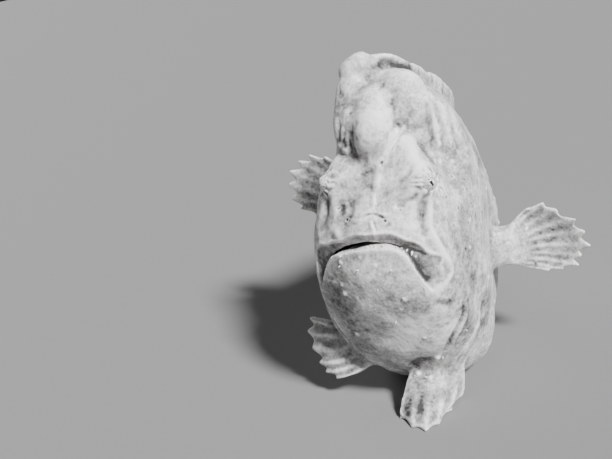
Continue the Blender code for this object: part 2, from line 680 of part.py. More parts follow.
def build_torso(fish, cutters, body, tree):
    """The torso, with the rimmed pores that its gills open through."""
    torso = as_part(copy_of(body, "torso", fish), fish, SKIN)
    rims, pores = [], []
    for sign, word in ((1, "left"), (-1, "right")):
        start = placed([(sign, GILL_DEPTH, GILL_HEIGHT)])[0]
        at = measured(tree.ray_cast(start, (-sign, 0, 0))[0])
        facing = facing_on(sign, GILL_FACING)
        rims.append(ring(f"gill_rim_{word}", at, facing, GILL_RADIUS, GILL_THICKNESS, cutters, 14))
        pores.append(sphere(f"gill_pore_{word}", at, facing, 0.8 * GILL_RADIUS, cutters, 12, 8))
    joined(torso, "UNION", *rims)
    joined(torso, "DIFFERENCE", *pores)
    joined(torso, "INTERSECT", behind("behind_neck", NECK_DEPTH + GAP_PART / 2, cutters))
    joined(torso, "DIFFERENCE", behind("behind_torso", RUMP_DEPTH, cutters))
    keep_largest(torso)


def build_tail(fish, cutters, body):
    tail = as_part(copy_of(body, "tail", fish), fish, SKIN)
    joined(tail, "INTERSECT", behind("behind_rump", RUMP_DEPTH + GAP_PART, cutters))
    keep_largest(tail)


def grown(name, shape, fish, cutters, finish, *from_pieces):
    """A piece that grows from others: its shape less the swollen pieces."""
    points, faces = shape
    made = as_part(mesh_object(name, placed(points), faces, cutters), fish, finish)
    joined(made, "DIFFERENCE", *from_pieces)
    keep_largest(made)
    return made


def build_third_spine(fish, cutters, around_body):
    """The third spine, leaned to the right, with the thick web that ties it to the back."""
    points, faces = limb_mesh(THIRD_SPINE)
    spine = as_part(mesh_object("third_spine", placed(points), faces, cutters), fish, SKIN)
    points, faces = fan_mesh(THIRD_WEB)
    joined(spine, "UNION", mesh_object("third_web", placed(points), faces, cutters))
    joined(spine, "DIFFERENCE", around_body)
    keep_largest(spine)
    return spine


def build_lure(fish, cutters, tree):
    """The thin first spine, just off the face, with a small bait near its end."""
    t = np.linspace(0, 1, 12)
    bait = BAIT_RADIUS * np.exp(-(((t - BAIT_AT) / BAIT_SPREAD) ** 2))
    radius = LURE_ROOT_RADIUS + (LURE_TIP_RADIUS - LURE_ROOT_RADIUS) * t + bait
    centres = on_front(tree, smooth_line(LURE_PATH, t))
    centres[:, 1] -= LURE_CLEARANCE + radius
    as_part(round_tube("illicium", centres, radius, cutters), fish, SKIN)


def build_paired_fins(fish, cutters, around_body):
    """Each arm with the fan of its hand, and the foot-like fins under the throat."""
    for word, arm in ARMS.items():
        limb = grown(f"pectoral_arm_{word}", limb_mesh(arm), fish, cutters, SKIN, around_body)
        around_arm = swollen(limb, f"around_arm_{word}", cutters)
        shape = fan_mesh(PECTORAL_FINS[word])
        grown(f"pectoral_fin_{word}", shape, fish, cutters, FIN_SKIN, around_body, around_arm)
    for word, fin in PELVIC_FINS.items():
        grown(f"pelvic_fin_{word}", fan_mesh(fin), fish, cutters, FIN_SKIN, around_body)


def build_middle_fins(fish, cutters, around_body, third_spine):
    around_third = swollen(third_spine, "around_third_spine", cutters)
    grown("dorsal_fin", fan_mesh(DORSAL_FIN), fish, cutters, FIN_SKIN, around_body, around_third)
    grown("anal_fin", fan_mesh(ANAL_FIN), fish, cutters, FIN_SKIN, around_body)
    grown("caudal_fin", fan_mesh(CAUDAL_FIN), fish, cutters, FIN_SKIN, around_body)


def main():
    clear_scene()
    fish = new_collection("frogfish")
    cutters = new_collection("cutters")
    points, faces = body_points()
    body = mesh_object("body", placed(points), faces, cutters)
    tree = BVHTree.FromPolygons([tuple(p) for p in placed(points)], [tuple(f) for f in faces])
    around_body = swollen(body, "around_body", cutters)

    build_head(fish, cutters, body, tree)
    build_jaw(fish, cutters, body, tree)
    build_eyes(fish, cutters, tree)
    build_torso(fish, cutters, body, tree)
    build_tail(fish, cutters, body)
    grown("second_spine", limb_mesh(SECOND_SPINE), fish, cutters, SKIN, around_body)
    third_spine = build_third_spine(fish, cutters, around_body)
    build_lure(fish, cutters, tree)
    build_paired_fins(fish, cutters, around_body)
    build_middle_fins(fish, cutters, around_body, third_spine)

    rest = bpy.data.objects.new("belly_rest", None)
    fish.objects.link(rest)
    for part in fish.objects:
        if part is not rest:
            part.parent = rest


main()
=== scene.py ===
"""The looks of a life-size frogfish at rest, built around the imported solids.

Everything is in metres with +Z up, the fish facing -Y. Shapes are worked out in body lengths, as (side, depth
behind the lip, height), curled at the rear and placed in the frame's own coordinates.
"""

import logging
import math
from dataclasses import dataclass, field
from enum import Enum
from typing import Dict, List, Optional, Sequence, Tuple, Union

import bmesh
import bpy
import numpy as np
from mathutils import Matrix, Vector
from mathutils.bvhtree import BVHTree
from mathutils.kdtree import KDTree


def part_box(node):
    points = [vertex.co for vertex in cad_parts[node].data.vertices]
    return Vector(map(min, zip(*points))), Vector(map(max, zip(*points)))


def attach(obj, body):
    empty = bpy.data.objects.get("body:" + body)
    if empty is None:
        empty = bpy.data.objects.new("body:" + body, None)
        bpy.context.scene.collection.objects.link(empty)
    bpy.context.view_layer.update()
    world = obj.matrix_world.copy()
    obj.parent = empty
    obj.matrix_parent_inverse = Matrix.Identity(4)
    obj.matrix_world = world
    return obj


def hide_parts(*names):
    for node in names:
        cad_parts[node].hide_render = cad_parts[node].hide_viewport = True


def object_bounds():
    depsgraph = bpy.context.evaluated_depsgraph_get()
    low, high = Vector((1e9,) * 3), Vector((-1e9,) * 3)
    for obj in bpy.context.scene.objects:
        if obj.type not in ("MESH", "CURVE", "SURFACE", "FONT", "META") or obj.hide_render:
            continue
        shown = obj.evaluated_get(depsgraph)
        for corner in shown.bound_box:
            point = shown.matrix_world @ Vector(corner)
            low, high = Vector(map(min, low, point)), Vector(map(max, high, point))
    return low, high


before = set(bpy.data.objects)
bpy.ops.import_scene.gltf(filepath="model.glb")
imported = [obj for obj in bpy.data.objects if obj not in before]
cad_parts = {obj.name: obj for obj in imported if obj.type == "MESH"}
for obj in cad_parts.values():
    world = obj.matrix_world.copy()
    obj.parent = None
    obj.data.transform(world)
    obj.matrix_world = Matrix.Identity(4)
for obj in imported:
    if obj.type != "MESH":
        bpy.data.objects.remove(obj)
CAD_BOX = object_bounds()

Point = Tuple[float, float, float]
Line = Sequence[Point]
Pixel = Tuple[float, float]
Array = np.ndarray

log = logging.getLogger("frogfish")

LENGTH = 0.170  # from the upper lip to the root of the tail fin
ORIGIN_DEPTH = 0.5  # how far behind the lip the origin lies, in body lengths
FAR_FRONT = -0.5  # a depth well in front of the fish
CURL_START, CURL_LENGTH, CURL_ANGLE = 0.58, 0.50, math.radians(62)
SIDES = ((1, "left"), (-1, "right"))
MM = 0.001
STEP_IN, STEP_OUT = 0.6, -0.56  # shares of a smoothing step, and of the step that gives back what it shrinks


# Places and curves

def smooth_through(places: Array, values: Array, at: Array) -> Array:
    """Reads a smooth curve.

    Args:
        places: Rising places of the knots.
        values: Values at the knots.
        at: Places asked for.

    Returns:
        The curve's values there.
    """
    slopes = np.gradient(values, places)
    i = np.clip(np.searchsorted(places, at) - 1, 0, len(places) - 2)
    step = places[i + 1] - places[i]
    t = (at - places[i]) / step
    start = (2 * t**3 - 3 * t**2 + 1) * values[i] + (t**3 - 2 * t**2 + t) * step * slopes[i]
    end = (3 * t**2 - 2 * t**3) * values[i + 1] + (t**3 - t**2) * step * slopes[i + 1]
    return start + end


def smooth_line(knots: Sequence[Sequence[float]], at: Array) -> Array:
    """Reads points of a smooth line.

    Args:
        knots: Points that it goes through.
        at: Places asked for, from 0 to 1.

    Returns:
        The points.
    """
    rows = np.array(knots, float)
    places = np.linspace(0, 1, len(rows))
    return np.stack([smooth_through(places, column, at) for column in rows.T], -1)


def smooth_values(values: Sequence[float], at: Array) -> Array:
    """Reads numbers of a smooth curve through evenly spaced knots, for places from 0 to 1."""
    return smooth_line(np.array(values)[:, None], at)[:, 0]


def smooth_step(t: Array) -> Array:
    """Eases from 0 to 1."""
    t = np.clip(t, 0.0, 1.0)
    return t * t * (3 - 2 * t)


def bell(t: Array) -> Array:
    """Eases from 1 at 0 to 0 on both sides."""
    return np.exp(-(t**2))


def unit(vector: Sequence[float]) -> Array:
    """Scales a vector to length 1."""
    return np.array(vector, float) / np.linalg.norm(vector)


def units(rows: Array) -> Array:
    """Scales each of several vectors to length 1."""
    return rows / np.linalg.norm(rows, axis=1)[:, None]


def placed(points: Array) -> Array:
    """Turns body-length points into world points.

    Args:
        points: Rows of (side, depth, height) in body lengths.

    Returns:
        World points in metres, none below the floor, with the rear curled to the fish's right.
    """
    depth = np.linspace(0, 2.0, 801)
    heading = CURL_ANGLE * smooth_step((depth - CURL_START) / CURL_LENGTH)
    step = depth[1]
    spine_x = -np.cumsum(np.sin(heading)) * step
    spine_y = np.cumsum(np.cos(heading)) * step - step
    side, along, height = np.asarray(points, float).T
    inside = np.clip(along, 0, depth[-1])
    angle = np.interp(inside, depth, heading)
    x = np.interp(inside, depth, spine_x) + side * np.cos(angle)
    y = np.interp(inside, depth, spine_y) + side * np.sin(angle) + (along - inside) - ORIGIN_DEPTH
    return np.stack([x * LENGTH, y * LENGTH, np.maximum(height * LENGTH, 0.0)], 1)


def measured(world: Sequence[float]) -> Array:
    """Turns a world point in front of the curl into body lengths."""
    return np.array(world, float) / LENGTH + (0, ORIGIN_DEPTH, 0)


def in_box_of(points: Array, shape: Array, reach: float) -> Array:
    """Tells which points lie within a reach of the box around a shape."""
    return ((points > shape.min(0) - reach) & (points < shape.max(0) + reach)).all(1)


def from_front(tree: BVHTree, line: Sequence[Tuple[float, float]], at: Array) -> Tuple[Array, Array]:
    """Lays a smooth line, seen from the front, on a surface.

    Args:
        tree: The surface.
        line: The line's knots, as (side, height) in body lengths.
        at: Places asked for, from 0 to 1.

    Returns:
        World points, and how the surface faces there.
    """
    starts = placed(np.insert(smooth_line(line, at), 1, FAR_FRONT, axis=1))
    hits = [tree.ray_cast(start, (0, 1, 0)) for start in starts]
    return np.array([hit[0] for hit in hits]), np.array([hit[1] for hit in hits])


def along_line(points: Array, line: Array) -> Tuple[Array, Array, Array]:
    """Finds each point's place beside a line.

    Args:
        points: The points.
        line: The line's own points.

    Returns:
        Each point's distance, its place along the line from 0 to 1, and its offset from the line.
    """
    if len(line) == 1:
        offset = points - line[0]
        return np.linalg.norm(offset, axis=1), np.full(len(points), 0.5), offset
    nearest = np.full(len(points), np.inf)
    place = np.zeros(len(points))
    offset = np.zeros_like(points)
    for k, (start, end) in enumerate(zip(line, line[1:])):
        along = end - start
        t = np.clip((points - start) @ along / (along @ along), 0, 1)
        away = points - start - t[:, None] * along
        distance = np.linalg.norm(away, axis=1)
        closer = distance < nearest
        nearest[closer] = distance[closer]
        place[closer] = (k + t[closer]) / (len(line) - 1)
        offset[closer] = away[closer]
    return nearest, place, offset


def value_noise(points: Array, scale: float, seed: int) -> Array:
    """Reads a smooth random field.

    Args:
        points: World points in metres.
        scale: Size of its cells in metres.
        seed: Which field.

    Returns:
        Values from -1 to 1.
    """
    p = points / scale + 31.7 * seed
    cell = np.floor(p).astype(np.int64)
    t = smooth_step(p - cell)
    total = np.zeros(len(p))
    for corner in np.ndindex(2, 2, 2):
        at = cell + np.array(corner)
        mixed = at[:, 0] * 73856093 ^ at[:, 1] * 19349663 ^ at[:, 2] * 83492791 ^ seed * 2654435761
        mixed = (mixed ^ (mixed >> 13)) * 1274126177 & 0x7FFFFFFF
        value = (mixed ^ (mixed >> 16)) % 65536 / 32767.5 - 1
        weight = np.where(np.array(corner), t, 1 - t).prod(1)
        total += value * weight
    return total


# Meshes

def linked(name: str, data: bpy.types.ID) -> bpy.types.Object:
    """Puts a mesh, a light or a camera into the scene as an object.

    Args:
        name: The object's name.
        data: The mesh, light or camera.

    Returns:
        The object.
    """
    made = bpy.data.objects.new(name, data)
    bpy.context.scene.collection.objects.link(made)
    return made


def mesh_object(name: str, points: Array, faces: Sequence[Sequence[int]]) -> bpy.types.Object:
    """Makes a smooth mesh object with its faces pointing out.

    Args:
        name: Its name.
        points: Its points.
        faces: Its faces, as numbers of points.

    Returns:
        The object.
    """
    mesh = bpy.data.meshes.new(name)
    mesh.from_pydata(np.asarray(points, float).tolist(), [], [tuple(int(i) for i in f) for f in faces])
    bm = bmesh.new()
    bm.from_mesh(mesh)
    bmesh.ops.recalc_face_normals(bm, faces=bm.faces)
    bm.to_mesh(mesh)
    bm.free()
    mesh.shade_smooth()
    return linked(name, mesh)


def applied(obj: bpy.types.Object) -> bpy.types.Object:
    """Makes an object's modifiers part of its mesh.

    Args:
        obj: The object.

    Returns:
        The same object.
    """
    bpy.context.view_layer.update()
    graph = bpy.context.evaluated_depsgraph_get()
    mesh = bpy.data.meshes.new_from_object(obj.evaluated_get(graph))
    obj.modifiers.clear()
    obj.data = mesh
    mesh.shade_smooth()
    return obj


def points_of(obj: bpy.types.Object) -> Array:
    """Reads an object's points.

    Args:
        obj: The object.

    Returns:
        Its points, a row each.
    """
    points = np.empty(len(obj.data.vertices) * 3, np.float32)
    obj.data.vertices.foreach_get("co", points)
    return points.reshape(-1, 3).astype(float)


def set_points(obj: bpy.types.Object, points: Array) -> None:
    """Moves an object's points."""
    obj.data.vertices.foreach_set("co", points.astype(np.float32).ravel())
    obj.data.update()


def keep_in_box(obj: bpy.types.Object) -> None:
    """Moves an object's points into the solids' box."""
    set_points(obj, np.clip(points_of(obj), *np.array(CAD_BOX)))


def normals_of(obj: bpy.types.Object) -> Array:
    """Reads an object's point normals.

    Args:
        obj: The object.

    Returns:
        The normal at each of its points.
    """
    normals = np.empty(len(obj.data.vertices) * 3, np.float32)
    obj.data.vertex_normals.foreach_get("vector", normals)
    return normals.reshape(-1, 3).astype(float)


def relaxed(obj: bpy.types.Object, rounds: int, weight: Optional[Array] = None, shrink: bool = False) -> None:
    """Smooths a mesh.

    Args:
        obj: The mesh object.
        rounds: How many times.
        weight: Share of the smoothing at each point, or None for all.
        shrink: Whether it may shrink, which fills creases, or is given back what it loses.
    """
    edges = np.empty(len(obj.data.edges) * 2, np.int32)
    obj.data.edges.foreach_get("vertices", edges)
    a, b = edges.reshape(-1, 2).T
    points = points_of(obj)
    share = np.ones(len(points)) if weight is None else weight
    worked = (share[a] > 0.01) | (share[b] > 0.01)
    a, b = a[worked], b[worked]
    count = np.maximum(np.bincount(a, minlength=len(points)) + np.bincount(b, minlength=len(points)), 1)
    share = np.where(count > 1, share, 0.0)
    for factor in (STEP_IN,) * rounds if shrink else (STEP_IN, STEP_OUT) * rounds:
        total = np.stack(
            [
                np.bincount(a, points[b, k], len(points)) + np.bincount(b, points[a, k], len(points))
                for k in range(3)
            ],
            1,
        )
        points += (total / count[:, None] - points) * (factor * share)[:, None]
    set_points(obj, points)


def tree_of(obj: bpy.types.Object) -> BVHTree:
    """Makes a tree for finding places on an object's surface."""
    bpy.context.view_layer.update()
    return BVHTree.FromObject(obj, bpy.context.evaluated_depsgraph_get())


def store(obj: bpy.types.Object, name: str, values: Array) -> None:
    """Keeps a number or a vector for each point of a mesh, for its material to read.

    Args:
        obj: The object.
        name: The name that the material reads.
        values: A row for each point.
    """
    kind = "FLOAT" if values.ndim == 1 else "FLOAT_VECTOR"
    attribute = obj.data.attributes.new(name, kind, "POINT")
    attribute.data.foreach_set("value" if values.ndim == 1 else "vector", values.astype(np.float32).ravel())


def sweep(
    centres: Array, across: Array, out: Array, wide: Array, thin: Array, around: int
) -> Tuple[Array, List[Tuple[int, ...]]]:
    """Sweeps an oval along a line.

    Args:
        centres: The line's points.
        across: At each, the direction of the oval's width.
        out: At each, the direction of its thickness.
        wide: At each, half its width.
        thin: At each, half its thickness.
        around: How many points the oval has.

    Returns:
        The points and the faces of a closed tube.
    """
    angle = np.arange(around) * 2 * math.pi / around
    rings = [
        c + np.outer(np.cos(angle) * w, a) + np.outer(np.sin(angle) * t, o)
        for c, a, o, w, t in zip(centres, across, out, wide, thin)
    ]
    last = (len(centres) - 1) * around
    faces = [tuple(range(around)), tuple(last + i for i in range(around))[::-1]]
    for start in range(0, last, around):
        for i in range(around):
            j = (i + 1) % around
            faces.append((start + i, start + around + i, start + around + j, start + j))
    return np.vstack(rings), faces


# The camera's view

@dataclass
class Sight:
    """Where the camera stands, and the lines of sight through pixels of a 612 by 459 picture."""

    azimuth: float = 25.0
    elevation: float = 22.0
    roll: float = 9.0
    distance: float = 0.336
    lens: float = 50.0
    sensor: float = 36.0
    image: Tuple[int, int] = (612, 459)
    aim: Point = (0, -0.085, 0.086)
    aim_pixel: Tuple[float, float] = (369, 240)
    rounds: int = 30  # of turning the camera until its aim falls on that pixel

    def axes(self) -> Tuple[Array, Array, Array, Array]:
        """Works out where the camera stands.

        Returns:
            Its place and its right, up and forward directions.
        """
        a, e, r = (math.radians(v) for v in (self.azimuth, self.elevation, self.roll))
        back = np.array([math.sin(a) * math.cos(e), -math.cos(a) * math.cos(e), math.sin(e)])
        place = np.array(self.aim) + self.distance * back
        focal = self.image[0] * self.lens / self.sensor
        forward = -back
        for _ in range(self.rounds):
            right = unit(np.cross(forward, [0, 0, 1]))
            up = np.cross(right, forward)
            rolled_right = right * math.cos(r) - up * math.sin(r)
            rolled_up = up * math.cos(r) + right * math.sin(r)
            to_aim = np.array(self.aim) - place
            across = self.image[0] / 2 + focal * (to_aim @ rolled_right) / (to_aim @ forward)
            down = self.image[1] / 2 - focal * (to_aim @ rolled_up) / (to_aim @ forward)
            forward = forward + rolled_right * (across - self.aim_pixel[0]) / focal
            forward = unit(forward - rolled_up * (down - self.aim_pixel[1]) / focal)
        return place, rolled_right, rolled_up, forward

    def on(self, tree: BVHTree, pixels: Sequence[Pixel], step: float = 3.0) -> Array:
        """Lays a smooth line on a surface where pixels of the picture fall.

        Args:
            tree: The surface.
            pixels: The line's knots, in pixels.
            step: How far apart its points are, in pixels.

        Returns:
            World points in metres.
        """
        place, right, up, forward = self.axes()
        focal = self.image[0] * self.lens / self.sensor
        knots = np.array(pixels, float)
        if len(knots) > 1:
            length = np.linalg.norm(np.diff(knots, axis=0), axis=1).sum()
            knots = smooth_line(knots, np.linspace(0, 1, max(2, int(length / step) + 1)))
        found = []
        for x, y in knots:
            way = forward + right * (x - self.image[0] / 2) / focal - up * (y - self.image[1] / 2) / focal
            hit = tree.ray_cast(place, way)[0]
            if hit is not None:
                found.append(hit)
        return np.array(found).reshape(-1, 3)


# The body's own form

@dataclass(frozen=True)
class Section:
    """One section of the body, in body lengths."""

    turn: float
    depth: float
    top: float
    bottom: float
    half_width: float
    taper: float
    square_top: float
    square_low: float


@dataclass(frozen=True)
class Fold:
    """A swelling or a hollow of the body's form, along a line."""

    line: Line
    reach: float
    rise: float
    both: bool = True


@dataclass
class BodyForm:
    """The whole body as a stretched ball with folds, as the solids have it."""

    cells: int = 120
    sections: Tuple[Section, ...] = (
        Section(24, -0.012, 0.520, 0.345, 0.086, 0.02, 2.1, 2.1),
        Section(42, 0.012, 0.582, 0.268, 0.144, 0.04, 2.3, 2.2),
        Section(58, 0.052, 0.640, 0.172, 0.176, 0.06, 2.5, 2.3),
        Section(74, 0.130, 0.722, 0.070, 0.196, 0.10, 3.0, 2.4),
        Section(90, 0.250, 0.800, -0.002, 0.199, 0.12, 3.3, 2.5),
        Section(106, 0.410, 0.762, -0.024, 0.169, 0.20, 2.6, 2.4),
        Section(121, 0.570, 0.650, -0.012, 0.136, 0.22, 2.2, 2.2),
        Section(136, 0.710, 0.520, 0.022, 0.102, 0.18, 2.1, 2.1),
        Section(150, 0.830, 0.405, 0.075, 0.072, 0.12, 2.0, 2.0),
        Section(164, 0.930, 0.315, 0.120, 0.046, 0.08, 2.0, 2.0),
    )
    # The poles have a turn, a depth, a taper and how square they are above and below.
    nose: Tuple[float, float, float, float, float] = (0, -0.022, 0.00, 2.0, 2.0)
    tail_root: Tuple[float, float, float, float, float] = (180, 1.000, 0.05, 2.0, 2.0)
    folds: Dict[str, Fold] = field(
        default_factory=lambda: {
            "left eye mound": Fold(((0.108, 0.082, 0.612),), 0.038, 0.027, False),
            "right eye mound": Fold(((-0.093, 0.080, 0.610),), 0.038, 0.024, False),
            "brow": Fold(((0.100, 0.100, 0.660), (0.066, 0.125, 0.735)), 0.030, 0.010),
            "snout": Fold(((0.000, 0.000, 0.530),), 0.060, 0.014, False),
            "hollow beside the snout": Fold(((0.048, 0.030, 0.595),), 0.035, -0.008),
            "hollow beside the spines": Fold(((0.060, 0.130, 0.700), (0.062, 0.180, 0.790)), 0.030, -0.010),
            "corner of the forehead": Fold(((0.122, 0.185, 0.785),), 0.050, 0.022),
            "temple": Fold(((0.165, 0.165, 0.650), (0.152, 0.145, 0.715)), 0.055, -0.030),
            "hollow before the arm": Fold(((0.185, 0.400, 0.240),), 0.100, -0.010),
            "cheek ridge": Fold(
                ((0.138, 0.105, 0.575), (0.146, 0.075, 0.510), (0.162, 0.065, 0.440)), 0.026, 0.006
            ),
            "hollow behind the cheek": Fold(((0.175, 0.140, 0.500), (0.185, 0.140, 0.420)), 0.045, -0.010),
            "chin": Fold(((0.000, -0.010, 0.400),), 0.090, 0.010, False),
            "throat groove": Fold(
                ((0.190, 0.150, 0.340), (0.180, 0.190, 0.240), (0.145, 0.200, 0.140), (0.070, 0.210, 0.070)),
                0.034, -0.014,
            ),
            "belly lobe": Fold(((0.165, 0.300, 0.080),), 0.090, 0.016),
            "groove below the back": Fold(((0.060, 0.470, 0.730), (0.050, 0.650, 0.560)), 0.040, -0.012),
            "full flank": Fold(
                ((0.150, 0.380, 0.600), (0.138, 0.475, 0.500), (0.133, 0.560, 0.370)), 0.075, 0.012
            ),
        }
    )

    def ball(self) -> Tuple[Array, Array]:
        """Makes a unit ball from a cube, with nearly even cells.

        Returns:
            Its points and its faces of four corners.
        """
        bm = bmesh.new()
        bmesh.ops.create_cube(bm, size=2.0)
        bmesh.ops.subdivide_edges(bm, edges=bm.edges[:], cuts=self.cells - 1, use_grid_fill=True)
        points = np.tan(np.array([v.co for v in bm.verts]) * math.pi / 4)
        faces = np.array([[v.index for v in f.verts] for f in bm.faces])
        bm.free()
        return units(points), faces

    def mesh(self) -> Tuple[Array, Array]:
        """Works out the body.

        Returns:
            Its points in body lengths, and its faces.
        """
        ball, faces = self.ball()
        side, along, up = ball.T
        rows = self.sections
        sines = np.sin(np.radians([row.turn for row in rows]))
        turns = [self.nose[0], *(row.turn for row in rows), self.tail_root[0]]
        places = -np.cos(np.radians(turns))

        def reading(values: Sequence[float], ends: Tuple[float, float]) -> Array:
            """Reads a value along the body, given it at the sections and at both poles."""
            return smooth_through(places, np.array([ends[0], *values, ends[1]], float), along)

        halves = [(row.top - row.bottom) / 2 / s for row, s in zip(rows, sines)]
        widths = [row.half_width / s for row, s in zip(rows, sines)]
        middles = [(row.top + row.bottom) / 2 for row in rows]
        half = reading(halves, (halves[0], halves[-1]))
        width = reading(widths, (widths[0], widths[-1]))
        middle = reading(middles, (middles[0], middles[-1]))
        depth = reading([row.depth for row in rows], (self.nose[1], self.tail_root[1]))
        taper = reading([row.taper for row in rows], (self.nose[2], self.tail_root[2]))
        square_top = reading([row.square_top for row in rows], (self.nose[3], self.tail_root[3]))
        square_low = reading([row.square_low for row in rows], (self.nose[4], self.tail_root[4]))
        ring = np.maximum(np.hypot(side, up), 1e-9)
        power = np.where(up > 0, square_top, square_low)
        bulge = (np.abs(side / ring) ** power + np.abs(up / ring) ** power) ** (-1 / power)
        points = np.stack([width * side * bulge * (1 - taper * up), depth, middle + half * up * bulge], 1)
        corners = points[faces]
        normals = np.zeros_like(points)
        across = np.cross(corners[:, 2] - corners[:, 0], corners[:, 3] - corners[:, 1])
        for corner in range(4):
            np.add.at(normals, faces[:, corner], across)
        normals = units(normals)
        if (normals * points).sum() < 0:
            normals = -normals
        folded = points.copy()
        for fold in self.folds.values():
            for sign in (1, -1) if fold.both else (1,):
                line = np.array(fold.line) * (sign, 1, 1)
                rise = fold.rise * bell(along_line(points, line)[0] / fold.reach)
                folded += normals * rise[:, None]
        return folded, faces


@dataclass(frozen=True)
class Limb:
    """A rounded fleshy limb with oval sections, in body lengths."""

    knots: Line
    wides: Tuple[float, ...]
    thins: Tuple[float, ...]
    facing: Point
    rows: int = 60
    around: int = 56
    blunt: float = 0.7
    least: float = 0.003  # the square of the share of its size that is left at its ends

    def mesh(self) -> Tuple[Array, List[Tuple[int, ...]]]:
        """Works out the limb.

        Returns:
            Its points in body lengths, and its faces.
        """
        t = 0.5 - 0.5 * np.cos(np.linspace(0, math.pi, self.rows))
        centres = smooth_line(self.knots, t)
        along = units(np.gradient(centres, axis=0))
        across = units(np.cross(along, np.array(self.facing, float)))
        out = np.cross(across, along)
        end = (np.clip(np.abs(2 * t - 1), self.blunt, 1) - self.blunt) / (1 - self.blunt)
        rounding = np.sqrt(np.maximum(1 - end**2, self.least))
        wide, thin = (smooth_values(sizes, t) * rounding for sizes in (self.wides, self.thins))
        return sweep(centres, across, out, wide, thin, self.around)


@dataclass(frozen=True)
class Fan:
    """A fin whose rays are ridges in its two faces, in body lengths."""

    root: Line
    tips: Line
    bow: Line
    rays: int
    web: Tuple[float, float]
    ray: Tuple[float, float]
    notch: float = 0.1
    rim: float = 0.0
    taper: float = 3.0
    rows: int = 44
    steps: int = 12
    uneven: float = 0.0
    seed: int = 1
    bare: float = 0.0
    ridge_share: float = 0.3  # the share of its length over which a ridge rises
    rim_share: float = 0.15  # the share over which its rim swells
    edge_share: float = 0.02  # the share over which its edge thins
    edge_least: float = 0.15

    def mesh(self) -> Tuple[Array, List[Tuple[int, ...]], Array]:
        """Works out the fin.

        Returns:
            Its points in body lengths, its faces, and two rows: each point's place along the ray, from 0
            to 1, and its share of membrane.
        """
        columns = (self.rays - 1) * self.steps + 1
        rows = self.rows
        u = np.repeat(np.linspace(0, 1, columns), rows)
        s = np.tile(np.linspace(0, 1, rows), columns)
        between = np.sin(math.pi * u * (self.rays - 1)) ** 2
        lengths = 1 + self.uneven * np.random.default_rng(self.seed).uniform(-1, 1, self.rays)
        reach = np.interp(u * (self.rays - 1), np.arange(self.rays), lengths)
        out = (s * (1 + (reach - 1) * s**2) * (1 - self.notch * between**0.7 * s**2))[:, None]
        grid = smooth_line(self.root, u) * (1 - out) + smooth_line(self.tips, u) * out
        grid += smooth_line(self.bow, u) * 4 * out * (1 - out)
        across, outward = np.gradient(grid.reshape(columns, rows, 3), axis=(0, 1))
        normal = units(np.cross(across, outward).reshape(-1, 3))
        ridge = (1 - between) ** 2 * smooth_step((s - self.bare) / self.ridge_share)
        at_root = self.web[0] + (self.ray[0] - self.web[0]) * ridge
        at_tip = self.web[1] + (self.ray[1] - self.web[1]) * ridge
        fleshy = (1 - s) ** self.taper
        thick = at_root * fleshy + at_tip * (1 - fleshy) + self.rim * bell((1 - s) / self.rim_share)
        thick *= np.sqrt(np.clip((1.0 - s) / self.edge_share, self.edge_least, 1))
        points = np.vstack([grid + normal * thick[:, None] / 2, grid - normal * thick[:, None] / 2])
        far = columns * rows
        faces: List[Tuple[int, ...]] = []
        for column in range(columns - 1):
            for row in range(rows - 1):
                a, b = column * rows + row, (column + 1) * rows + row
                faces += [(a, b, b + 1, a + 1), (far + a, far + a + 1, far + b + 1, far + b)]
        edge = [c * rows for c in range(columns)]
        edge += [(columns - 1) * rows + r for r in range(1, rows)]
        edge += [c * rows + rows - 1 for c in range(columns - 2, -1, -1)]
        edge += list(range(rows - 2, 0, -1))
        faces += [(b, a, far + a, far + b) for a, b in zip(edge, edge[1:] + edge[:1])]
        return points, faces, np.tile(np.stack([s, between]), 2)


# Finishes

